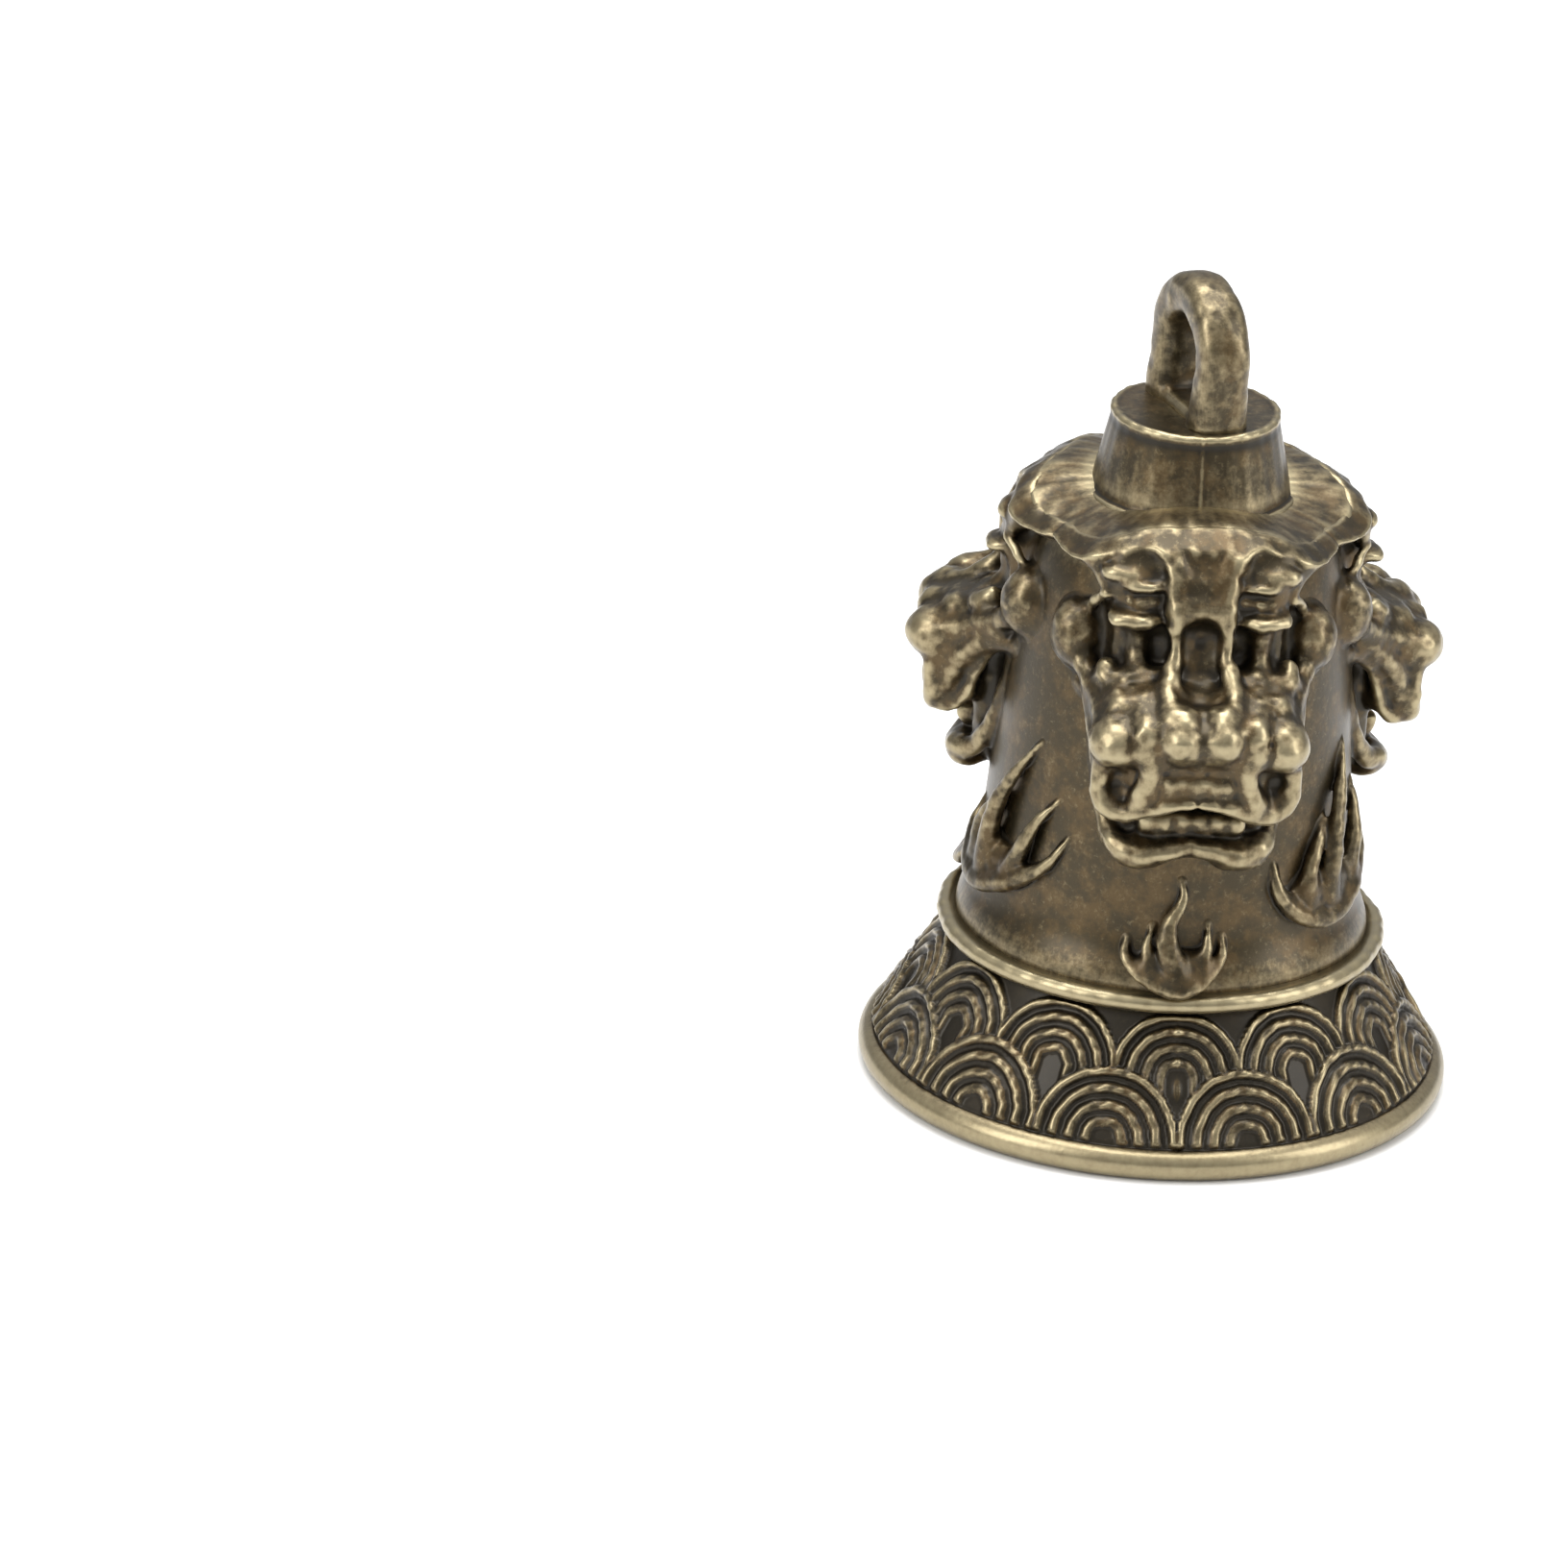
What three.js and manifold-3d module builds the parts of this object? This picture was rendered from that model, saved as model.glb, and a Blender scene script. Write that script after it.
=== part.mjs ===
// A small cast temple bell: three dragon heads round its shoulder, claws in relief between and below
// them, a hanging loop on a tapered collar, and a ball clapper on a wire link inside.
// Millimetres, +Z up. The origin is the centre of the mouth, on the plane that the lip stands on,
// and the front dragon looks along -Y.
import * as THREE from "three";
import { mergeVertices } from "three/addons/utils/BufferGeometryUtils.js";
import Module from "manifold-3d";

// Driving dimensions
const MOUTH_RADIUS = 15;
const TOTAL_HEIGHT = 43;
const WALL = 1.4;
const HEAD_COUNT = 3;

// Shell, from the lip up
const LIP = { bead: 0.8, foot: 0.5 };
const SKIRT_TOP = { r: 10.6, z: 7.6 };
const SEAT = { r: 10.3, top: 8.6 };
const WAIST_FOOT = { r: 10.4, z: 9.3 };
const WAIST = { r: 9.3, z: 14.5 };
const SHOULDER = { r: 8.3, z: 26 };
const CROWN = { r: 7.2, z: 30 };

// Ring, crown plate, collar and loop
const RING = { r: 10.95, z: 8.1, bead: 0.45 };
const PLATE = { top: 31.7, edge: 30.6, radius: 7.9, dent: 0.6 };
const COLLAR = { foot: 5.06, top: 4.26, z: 36, round: 0.3 };
const LOOP = { width: 7.7, thickness: 2.65, hole: 3.5, holeHeight: 4.2, sill: 0.4, turn: -72 };

// Dragons and claws: places are out from the axis, across the head, and up
const CHEEK_BALL = { r: 8.24, turn: 44.2, z: 25.7, size: 1.43 };
const MUZZLE = { tip: 14.2, halfWidth: 5.2, low: 20.4, high: 24 };
const JAW = { reach: 10.4, halfWidth: 4, low: 15, high: 16.8 };

// Clapper train: staple, link, rod and ball. A wire is given by its own radius
const STAPLE = { wire: 0.5, halfWidth: 1.6, z: 25.8, buried: 0.9 };
const LINK = { wire: 0.4, radius: 1.7, opening: 0.2 };
const CLAPPER = { wire: 0.45, eye: 1.4, rod: 0.75, ball: 2.6, z: 5, rivet: 1.2, rivetHeight: 0.7 };
const PLAY = 0.1;

// Facets and gaps
const ROUND = 44;
const BOSS_SIDES = 10;
const WIRE_SIDES = 8;
const FIT_GAP = 0.3;
const FULL_TURN = 2 * Math.PI;
const THIRD_TURN = FULL_TURN / HEAD_COUNT;
const degrees = THREE.MathUtils.degToRad;

const wasm = await Module();
wasm.setup();

// A closed three.js geometry as a solid that can be joined and cut.
function solid(geometry) {
  const bare = geometry.clone();
  bare.deleteAttribute("normal");
  bare.deleteAttribute("uv");
  const merged = mergeVertices(bare, 1e-4);
  return new wasm.Manifold(
    new wasm.Mesh({
      numProp: 3,
      vertProperties: merged.getAttribute("position").array,
      triVerts: new Uint32Array(merged.index.array),
    }),
  );
}

function geometryOf(shape) {
  const { vertProperties, triVerts } = shape.getMesh();
  const geometry = new THREE.BufferGeometry();
  geometry.setAttribute("position", new THREE.BufferAttribute(vertProperties, 3));
  geometry.setIndex(new THREE.BufferAttribute(triVerts, 1));
  geometry.computeVertexNormals();
  return geometry;
}

const joined = (solids) => solids.reduce((sum, next) => sum.add(next));

// A path of (radius, height) points that runs anticlockwise, turned round +Z.
function turned(path, facets = ROUND, divisions = 4) {
  return new THREE.LatheGeometry(path.getPoints(divisions), facets).rotateX(Math.PI / 2);
}

function pathThrough(points) {
  return new THREE.Path(points.map(([x, y]) => new THREE.Vector2(x, y)));
}

function outline(points) {
  return new THREE.Shape(points.map(([x, y]) => new THREE.Vector2(x, y)));
}

// An outline given on one side of the middle line, completed with its mirror image.
function evenOutline(half) {
  const mirrored = half.map(([x, y]) => [x, -y]).reverse();
  return outline([...mirrored, ...half]);
}

// An outline extruded with a chamfer that stays inside it.
function chamfered(shape, depth, bevel, curveSegments = 4) {
  return new THREE.ExtrudeGeometry(shape, {
    depth: depth - 2 * bevel,
    bevelThickness: bevel,
    bevelSize: bevel,
    bevelOffset: -bevel,
    bevelSegments: 1,
    curveSegments,
  }).translate(0, 0, bevel);
}

// A side outline in (outward, up), given a width that is centred on the middle plane.
function slab(side, width, bevel) {
  return chamfered(side, width, bevel).rotateX(Math.PI / 2).translate(0, width / 2, 0);
}

// An outline seen from above, raised from one height to another.
const layer = (plan, low, high, bevel) => chamfered(plan, high - low, bevel).translate(0, 0, low);

function ball(radius, x, y, z, stretch = [1, 1, 1]) {
  const round = new THREE.SphereGeometry(radius, BOSS_SIDES, BOSS_SIDES / 2 + 1).rotateX(Math.PI / 2);
  return round.scale(...stretch).translate(x, y, z);
}

// A round bar of a given radius along a curve.
function wire(curve, radius, steps) {
  const section = new THREE.Shape().absarc(0, 0, radius, 0, FULL_TURN);
  return new THREE.ExtrudeGeometry(section, {
    extrudePath: curve,
    steps,
    curveSegments: WIRE_SIDES / 2,
    bevelEnabled: false,
  });
}

// Finishes, from the worn brass of the body to the darker wire of the clapper train
const castBrass = () => new THREE.MeshStandardMaterial({ color: 0x76694a, roughness: 0.42, metalness: 0.9 });
const reliefBrass = () => new THREE.MeshStandardMaterial({ color: 0x7e7150, roughness: 0.4, metalness: 0.9 });
const darkWire = () => new THREE.MeshStandardMaterial({ color: 0x4a4438, roughness: 0.5, metalness: 0.9 });

function piece(name, geometry, material) {
  const mesh = new THREE.Mesh(geometry, material);
  mesh.name = name;
  return mesh;
}

// The outside of the waist, shoulder and crown, from the foot of the waist up to the axis.
function addUpperOutside(path, grow) {
  path.lineTo(WAIST_FOOT.r + grow, WAIST_FOOT.z);
  path.quadraticCurveTo(WAIST.r + 0.15 + grow, 10.6, WAIST.r + grow, WAIST.z);
  path.bezierCurveTo(9 + grow, 18, SHOULDER.r + 0.3 + grow, 23, SHOULDER.r + grow, SHOULDER.z);
  path.bezierCurveTo(8.1 + grow, 28, 7.7 + grow, 29.2, CROWN.r + grow, CROWN.z);
  path.lineTo(0, CROWN.z);
}

// The bell itself: one turned shell with a seat for the ring, a rounded lip on a flat foot, and two
// blind holes in its crown for the legs of the staple.
function shell() {
  const ceiling = CROWN.z - WALL;
  const lipCentre = MOUTH_RADIUS - LIP.bead;
  const skirtInside = SKIRT_TOP.r - WALL;
  const path = new THREE.Path();
  path.moveTo(0, ceiling);
  path.lineTo(5, ceiling);
  path.bezierCurveTo(6.2, ceiling - 0.4, 6.7, 27, SHOULDER.r - WALL, SHOULDER.z - 1);
  path.lineTo(WAIST.r - WALL, WAIST.z);
  path.quadraticCurveTo(WAIST.r - WALL + 0.1, 10.6, skirtInside, SKIRT_TOP.z);
  path.lineTo(lipCentre - 1.1, 0.9);
  path.lineTo(lipCentre - LIP.foot, 0);
  path.lineTo(lipCentre, 0);
  path.absarc(lipCentre, LIP.bead, LIP.bead, degrees(-90), degrees(60), false);
  path.lineTo(SKIRT_TOP.r, SKIRT_TOP.z);
  path.lineTo(SEAT.r, SKIRT_TOP.z);
  path.lineTo(SEAT.r, SEAT.top);
  addUpperOutside(path, 0);
  const leg = STAPLE.wire + PLAY;
  const depth = STAPLE.buried + PLAY;
  const bores = [-1, 1].map((side) => {
    const bore = new THREE.CylinderGeometry(leg, leg, 2 * depth, 12).rotateX(Math.PI / 2);
    return solid(bore.translate(side * STAPLE.halfWidth, 0, ceiling));
  });
  return geometryOf(solid(turned(path)).subtract(joined(bores)));
}

// A round bead that lies in the shell's seat, where the waist meets the skirt.
function waistRing() {
  const inner = SEAT.r + PLAY;
  const path = new THREE.Path();
  path.moveTo(inner, RING.z - RING.bead);
  path.absarc(RING.r, RING.z, RING.bead, degrees(-90), degrees(90), false);
  path.lineTo(inner, RING.z + RING.bead);
  path.closePath();
  return turned(path, ROUND, 3);
}

// The plate over the shoulder, dented in where each dragon's brow grows up beside it.
function crownPlate() {
  const cone = [[0, CROWN.z], [PLATE.radius, CROWN.z], [PLATE.radius, PLATE.edge], [COLLAR.foot, PLATE.top]];
  const steps = 72;
  const edge = [];
  for (let i = 0; i < steps; i++) {
    const angle = (i * FULL_TURN) / steps;
    const towardsHead = Math.max(0, Math.sin(HEAD_COUNT * angle)) ** 2;
    const radius = PLATE.radius - PLATE.dent * towardsHead;
    edge.push([radius * Math.cos(angle), radius * Math.sin(angle)]);
  }
  const disc = solid(turned(pathThrough([...cone, [0, PLATE.top]])));
  return geometryOf(disc.intersect(solid(layer(outline(edge), CROWN.z - 1, PLATE.top + 1, 0))));
}

function collar() {
  const { foot, top, z, round } = COLLAR;
  const points = [[0, PLATE.top], [foot, PLATE.top], [top, z - round], [top - round, z], [0, z]];
  return turned(pathThrough(points), 36);
}

// An arched eye for a cord, standing on the collar.
function hangingLoop() {
  const half = LOOP.width / 2;
  const rise = TOTAL_HEIGHT - COLLAR.z;
  const arch = new THREE.Shape();
  arch.moveTo(-half, 0);
  arch.lineTo(half, 0);
  arch.lineTo(half, rise - half);
  arch.absarc(0, rise - half, half, 0, Math.PI, false);
  const holeTop = LOOP.sill + LOOP.holeHeight;
  const eye = new THREE.Path();
  eye.moveTo(-LOOP.hole / 2, LOOP.sill);
  eye.lineTo(-LOOP.hole / 2, holeTop - LOOP.hole / 2);
  eye.absarc(0, holeTop - LOOP.hole / 2, LOOP.hole / 2, Math.PI, 0, true);
  eye.lineTo(LOOP.hole / 2, LOOP.sill);
  arch.holes.push(eye);
  const thick = new THREE.ExtrudeGeometry(arch, {
    depth: LOOP.thickness,
    bevelEnabled: false,
    curveSegments: 10,
  });
  return thick.translate(0, 0, -LOOP.thickness / 2).rotateX(Math.PI / 2).translate(0, 0, COLLAR.z);
}

// The space that the applied pieces keep clear of: the shell and its ring, grown by the fit gap.
function bellClearance() {
  const path = new THREE.Path();
  const ringSide = RING.r + RING.bead + FIT_GAP;
  path.moveTo(0, 0);
  path.lineTo(ringSide, 0);
  path.lineTo(ringSide, RING.z + RING.bead + FIT_GAP);
  addUpperOutside(path, FIT_GAP);
  return solid(turned(path));
}
const clearance = bellClearance();

// A dragon's head: brow, dished snout, lip pads, cheeks with a ball and a knob behind each, and a low
// jaw that a web behind the mouth joins to the muzzle. +X points out of the bell, +Y across the head.
function dragonHead() {
  const profile = new THREE.Shape();
  const browEdge = PLATE.radius - PLATE.dent + FIT_GAP;
  profile.moveTo(5, MUZZLE.low);
  profile.lineTo(MUZZLE.tip - 1.6, MUZZLE.low);
  profile.lineTo(MUZZLE.tip, 22.6);
  profile.quadraticCurveTo(MUZZLE.tip - 0.1, 24.4, 12.5, 24.8);
  profile.quadraticCurveTo(9.8, 24.9, 9.4, 26.6);
  profile.lineTo(9.1, 28.5);
  profile.lineTo(browEdge + 0.5, 30.3);
  profile.lineTo(browEdge, 30.3);
  profile.lineTo(browEdge, CROWN.z - FIT_GAP);
  profile.lineTo(5, CROWN.z - FIT_GAP);
  const { tip, halfWidth } = MUZZLE;
  const muzzle = evenOutline([[tip, 1.2], [13.4, 2.6], [12.6, halfWidth - 0.6], [10.6, halfWidth], [6, 4.2]]);
  const brow = evenOutline([[9.6, 2.2], [8.5, 4.4], [5.5, 5.4]]);
  const jaw = evenOutline([[JAW.reach, 1.6], [JAW.reach - 0.3, JAW.halfWidth - 0.6], [6, JAW.halfWidth]]);
  const web = evenOutline([[9.9, 2.6], [6, 3.6]]);
  const parts = [
    slab(profile, 3.6, 0.2),
    layer(muzzle, MUZZLE.low, MUZZLE.high, 0.4),
    layer(brow, 27.4, CROWN.z - FIT_GAP, 0.3),
    layer(jaw, JAW.low, JAW.high, 0.4),
    layer(web, JAW.low + 0.6, MUZZLE.low + 0.6, 0.1),
  ];
  const { r, turn, z, size } = CHEEK_BALL;
  for (const hand of [-1, 1]) {
    const sideways = (radius) => [radius * Math.cos(degrees(turn)), hand * radius * Math.sin(degrees(turn))];
    parts.push(ball(size, ...sideways(r), z));
    parts.push(ball(1.05, ...sideways(r + 0.46), z - 2.6, [1, 1, 1.5]));
    parts.push(ball(2.1, 7.9, hand * 3.9, 25.4, [1, 1, 1.3]));
    parts.push(ball(1.9, 8.2, hand * 4.3, 22.6, [1, 1.1, 1]));
    parts.push(ball(1.1, 12.3, hand * 4.2, 22.4));
    parts.push(ball(1.3, 11, hand * 4.4, 20.3, [0.9, 0.8, 1.1]));
  }
  return geometryOf(joined(parts.map(solid)).subtract(clearance));
}

function waistRadius(z) {
  const lower = (z - WAIST_FOOT.z) / (WAIST.z - WAIST_FOOT.z);
  const upper = (z - WAIST.z) / (SHOULDER.z - WAIST.z);
  if (z < WAIST.z) return THREE.MathUtils.lerp(WAIST_FOOT.r, WAIST.r, Math.sqrt(Math.max(0, lower)));
  return THREE.MathUtils.lerp(WAIST.r, SHOULDER.r, upper);
}

// A dragon's foot in relief: a palm low on the waist with toes that fan upwards.
// Each toe runs from one angle round the bell to another, and rises by its length.
function claw({ z, lift, palm, palmWidth, toe, toes }) {
  const onWaist = (angle, height) => {
    const r = waistRadius(height) + lift;
    return new THREE.Vector3(r * Math.cos(degrees(angle)), r * Math.sin(degrees(angle)), height);
  };
  const parts = [ball(1, waistRadius(z) + lift, 0, z, [palm * 0.7, palmWidth / 2, palm])];
  for (const [from, to, length] of toes) {
    const root = onWaist(from, z);
    const tip = onWaist(to, z + length);
    const shape = new THREE.CylinderGeometry(toe * 0.45, toe, root.distanceTo(tip), 6).rotateX(Math.PI / 2);
    shape.lookAt(tip.clone().sub(root));
    parts.push(shape.translate(...root.add(tip).multiplyScalar(0.5)));
  }
  return geometryOf(joined(parts.map(solid)).subtract(clearance));
}

const UPPER_CLAW = {
  z: 12.6,
  lift: 0.35,
  palm: 1.2,
  palmWidth: 6,
  toe: 0.8,
  toes: [[-15, -22, 2.2], [-9, -12, 4], [-1, -2, 7], [8, 11, 4.2], [15, 22, 2.4]],
};

const LOWER_CLAW = {
  z: 9.8,
  lift: 0.55,
  palm: 1,
  palmWidth: 4.4,
  toe: 0.6,
  toes: [[-10, -12, 1.4], [-5, -6, 2.8], [0, 1, 4.5], [5, 6, 2.3], [10, 12, 1.2]],
};

// A U of wire whose legs are fixed in the crown. The link hangs in its bend.
class StapleCurve extends THREE.Curve {
  getPoint(t, target = new THREE.Vector3()) {
    const { halfWidth } = STAPLE;
    const bend = Math.PI * halfWidth;
    const bendCentre = STAPLE.z + halfWidth;
    const leg = CROWN.z - WALL + STAPLE.buried - bendCentre;
    const pastFirstLeg = t * (2 * leg + bend) - leg;
    if (pastFirstLeg < 0) return target.set(-halfWidth, 0, bendCentre - pastFirstLeg);
    if (pastFirstLeg > bend) return target.set(halfWidth, 0, bendCentre + pastFirstLeg - bend);
    const angle = Math.PI + pastFirstLeg / halfWidth;
    return target.set(halfWidth * Math.cos(angle), 0, bendCentre + halfWidth * Math.sin(angle));
  }
}
const staple = () => wire(new StapleCurve(), STAPLE.wire, 20);

// A jump ring whose ends stay a little apart, in the plane across the staple.
const LINK_CENTRE = STAPLE.z + STAPLE.wire + LINK.wire + PLAY - LINK.radius;
class RingCurve extends THREE.Curve {
  getPoint(t, target = new THREE.Vector3()) {
    const angle = LINK.opening / 2 + t * (FULL_TURN - LINK.opening);
    return target.set(0, LINK.radius * Math.cos(angle), LINK_CENTRE + LINK.radius * Math.sin(angle));
  }
}
const link = () => wire(new RingCurve(), LINK.wire, 24);

// Clapper rod: an eye round the link, a straight rod, and a riveted end on each side of the ball.
const CLAPPER_PIVOT = LINK_CENTRE - LINK.radius;
const EYE_CENTRE = CLAPPER_PIVOT + LINK.wire + CLAPPER.wire + PLAY - CLAPPER.eye;
const BALL_FACE = CLAPPER.ball - PLAY;
function clapperRod() {
  const eye = new THREE.TorusGeometry(CLAPPER.eye, CLAPPER.wire, WIRE_SIDES, 16).rotateX(Math.PI / 2);
  const { rod, rivet, rivetHeight } = CLAPPER;
  const under = CLAPPER.z - BALL_FACE - PLAY;
  const over = CLAPPER.z + BALL_FACE + PLAY;
  const eyeFoot = EYE_CENTRE - CLAPPER.eye;
  const profile = pathThrough([
    [0, under - rivetHeight],
    [rivet / 2, under - rivetHeight],
    [rivet, under],
    [rod, under],
    [rod, over],
    [rivet, over],
    [rod, over + rivetHeight],
    [rod, eyeFoot],
    [0, eyeFoot],
  ]);
  return geometryOf(solid(eye.translate(0, 0, EYE_CENTRE)).add(solid(turned(profile, 12))));
}

// The ball is bored through and its two ends are faced flat.
function clapperBall() {
  const { ball: radius, rod, z } = CLAPPER;
  const across = (size, length) => new THREE.CylinderGeometry(size, size, length, 16).rotateX(Math.PI / 2);
  const sphere = solid(new THREE.SphereGeometry(radius, 20, 12).rotateX(Math.PI / 2));
  const faced = sphere.intersect(solid(across(2 * radius, 2 * BALL_FACE)));
  return geometryOf(faced.subtract(solid(across(rod + PLAY, 3 * radius)))).translate(0, 0, z);
}

const bell = new THREE.Group();
bell.add(piece("bell_shell", shell(), castBrass()));
bell.add(piece("waist_ring", waistRing(), castBrass()));
bell.add(piece("crown_plate", crownPlate(), reliefBrass()));
bell.add(piece("crown_collar", collar(), castBrass()));

const loop = piece("hanger_loop", hangingLoop(), castBrass());
loop.rotation.z = degrees(LOOP.turn);
bell.add(loop);

// Places round the bell are counted anticlockwise from the front dragon.
function addRoundBell(names, offset, prefix, makeGeometry) {
  const geometry = makeGeometry();
  names.forEach((where, i) => {
    const mesh = piece(`${prefix}_${where}`, geometry, reliefBrass());
    mesh.rotation.z = -Math.PI / 2 + (i + offset) * THIRD_TURN;
    bell.add(mesh);
  });
}
const ON_HEADS = ["front", "right", "left"];
const BETWEEN_HEADS = ["right", "back", "left"];
addRoundBell(ON_HEADS, 0, "dragon_head", dragonHead);
addRoundBell(ON_HEADS, 0, "lower_claw", () => claw(LOWER_CLAW));
addRoundBell(BETWEEN_HEADS, 0.5, "upper_claw", () => claw(UPPER_CLAW));

bell.add(piece("clapper_staple", staple(), darkWire()));
bell.add(piece("clapper_link", link(), darkWire()));
bell.add(piece("clapper_rod", clapperRod(), darkWire()));
bell.add(piece("clapper_ball", clapperBall(), castBrass()));

export default bell;
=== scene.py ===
"""A small cast temple bell with three dragon heads, sculpted round its CAD frame.

Lengths in the sculpting are design millimetres: the bell's mouth is 30 of them across, and unit()
gives the metres that one is worth. x points out of the bell, y across it and z up."""

import math

import bpy
import numpy as np
from mathutils import Matrix, Quaternion, Vector


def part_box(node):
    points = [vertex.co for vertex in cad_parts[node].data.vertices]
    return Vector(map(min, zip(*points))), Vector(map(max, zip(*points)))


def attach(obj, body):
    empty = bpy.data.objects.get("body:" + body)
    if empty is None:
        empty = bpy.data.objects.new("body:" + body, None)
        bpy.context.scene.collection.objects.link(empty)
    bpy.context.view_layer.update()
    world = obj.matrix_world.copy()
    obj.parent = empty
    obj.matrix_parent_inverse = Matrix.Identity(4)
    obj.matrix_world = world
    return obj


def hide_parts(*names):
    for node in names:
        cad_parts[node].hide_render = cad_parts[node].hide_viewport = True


bl_info = {
    "name": "Temple bell",
    "version": (1, 0, 0),
    "blender": (4, 5, 0),
    "location": "3D View > Sidebar > Bell",
    "description": "Sculpts a small cast dragon bell round its CAD frame",
    "category": "Object",
}

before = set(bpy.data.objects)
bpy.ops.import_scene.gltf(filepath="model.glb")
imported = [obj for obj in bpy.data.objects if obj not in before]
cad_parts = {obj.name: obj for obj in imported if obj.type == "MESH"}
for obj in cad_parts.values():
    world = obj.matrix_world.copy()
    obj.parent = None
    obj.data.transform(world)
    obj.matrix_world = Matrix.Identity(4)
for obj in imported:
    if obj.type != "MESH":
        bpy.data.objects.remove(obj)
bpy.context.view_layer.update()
SHELL_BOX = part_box("bell_shell")

DESIGN_MOUTH_RADIUS = 15.0
HEADS = {"front": 0, "right": 1, "left": 2}
BETWEEN = {"right": 0.5, "back": 1.5, "left": 2.5}
THIRD_TURN = math.tau / 3

# The bell's outside, in design millimetres. Pairs are a radius and a height.
LIP_CENTRE = (14.2, 0.8)
LIP_BEAD = 0.8
SKIRT_FOOT = (14.28, 1.58)
SKIRT_TOP = (10.62, 7.6)
RING_CENTRE = (10.95, 8.1)
RING_BEAD = 0.45
WAIST_HEIGHTS = np.array([8.6, 9.3, 9.8, 10.5, 11.5, 13.0, 14.5, 18.0, 22.0, 26.0, 27.5, 28.8, 30.2])
WAIST_RADII = np.array([10.5, 10.4, 10.1, 9.8, 9.58, 9.4, 9.3, 9.03, 8.7, 8.3, 8.08, 7.75, 7.2])
WALL = 1.4
PLATE_UNDER = 30.2
PLATE_RADIUS = 7.9
# The crown plate over a brow: how far out its straight front and its corners are, and where they turn
BROW_FRONT = 7.4
BROW_REACH = 8.5
BROW_CORNER = math.radians(34)
COLLAR_FOOT = (5.06, 31.7)
COLLAR_TOP = (4.26, 36.0)
LOOP_TOP = 43.0
LOOP_HALF_WIDTH = 3.85
LOOP_HALF_THICKNESS = 1.325
LOOP_TURN = math.radians(-72)
LOOP_HOLE = 1.75
LOOP_SILL = 0.45

# How far from any surface untouched clay counts as, and how far under the casting a relief is backed
FAR = 4.0
BACKING = 0.45


def unit():
    """Metres in one design millimetre."""
    return (SHELL_BOX[1].x - SHELL_BOX[0].x) / 2 / DESIGN_MOUTH_RADIUS


# ---------------------------------------------------------------- clay: signed distances on a grid


def soft_min(a, b, blend):
    if blend <= 0:
        return np.minimum(a, b)
    near = np.maximum(blend - np.abs(a - b), 0) / blend
    return np.minimum(a, b) - near * near * blend / 4


def soft_max(a, b, blend):
    return -soft_min(-a, -b, blend)


def ball(centre, radii, tilt=0.0):
    """An ellipsoid. tilt turns it about the across axis, nose down, in degrees."""
    centre = np.array(centre, float)
    radii = np.array(radii, float) * np.ones(3)
    cos, sin = math.cos(math.radians(tilt)), math.sin(math.radians(tilt))

    def distance(x, y, z):
        x, y, z = x - centre[0], y - centre[1], z - centre[2]
        x, z = cos * x - sin * z, sin * x + cos * z
        reach = np.sqrt((x / radii[0]) ** 2 + (y / radii[1]) ** 2 + (z / radii[2]) ** 2)
        slope = np.sqrt((x / radii[0] ** 2) ** 2 + (y / radii[1] ** 2) ** 2 + (z / radii[2] ** 2) ** 2)
        return reach * (reach - 1) / np.maximum(slope, 1e-5)

    return centre - radii.max(), centre + radii.max(), distance


def block(centre, half, rounding, tilt=0.0):
    """A rounded box. tilt turns it about the across axis, nose down, in degrees."""
    centre = np.array(centre, float)
    half = np.array(half, float)
    cos, sin = math.cos(math.radians(tilt)), math.sin(math.radians(tilt))
    span = np.linalg.norm(half)

    def distance(x, y, z):
        x, y, z = x - centre[0], y - centre[1], z - centre[2]
        x, z = cos * x - sin * z, sin * x + cos * z
        sides = [np.abs(v) - (h - rounding) for v, h in zip((x, y, z), half)]
        outside = np.sqrt(sum(np.maximum(side, 0) ** 2 for side in sides))
        inside = np.minimum(np.maximum(np.maximum(sides[0], sides[1]), sides[2]), 0)
        return outside + inside - rounding

    return centre - span, centre + span, distance


def curve_through(points, steps=4):
    """A smooth curve through points of any number of values, by Catmull and Rom's rule."""
    points = np.array(points, float)
    ends = np.vstack([2 * points[0] - points[1], points, 2 * points[-1] - points[-2]])
    out = []
    for a, b, c, d in zip(ends, ends[1:], ends[2:], ends[3:]):
        for t in np.arange(steps) / steps:
            out.append(
                0.5 * (2 * b + (c - a) * t + (2 * a - 5 * b + 4 * c - d) * t**2 + (3 * b - a - 3 * c + d) * t**3)
            )
    out.append(points[-1])
    return np.array(out)


def strand(points, radii):
    """A round strand through points, with a radius at each."""
    radii = np.array(radii, float) * np.ones(len(points))
    path = curve_through(np.column_stack([np.array(points, float), radii]))

    def distance(x, y, z):
        best = None
        for a, b in zip(path, path[1:]):
            run = b[:3] - a[:3]
            length = max(float(run @ run), 1e-9)
            t = np.clip(((x - a[0]) * run[0] + (y - a[1]) * run[1] + (z - a[2]) * run[2]) / length, 0, 1)
            gap = np.sqrt(
                (x - a[0] - t * run[0]) ** 2 + (y - a[1] - t * run[1]) ** 2 + (z - a[2] - t * run[2]) ** 2
            )
            gap = gap - (a[3] + t * (b[3] - a[3]))
            best = gap if best is None else np.minimum(best, gap)
        return best

    thick = path[:, 3].max()
    return path[:, :3].min(0) - thick, path[:, :3].max(0) + thick, distance


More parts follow.
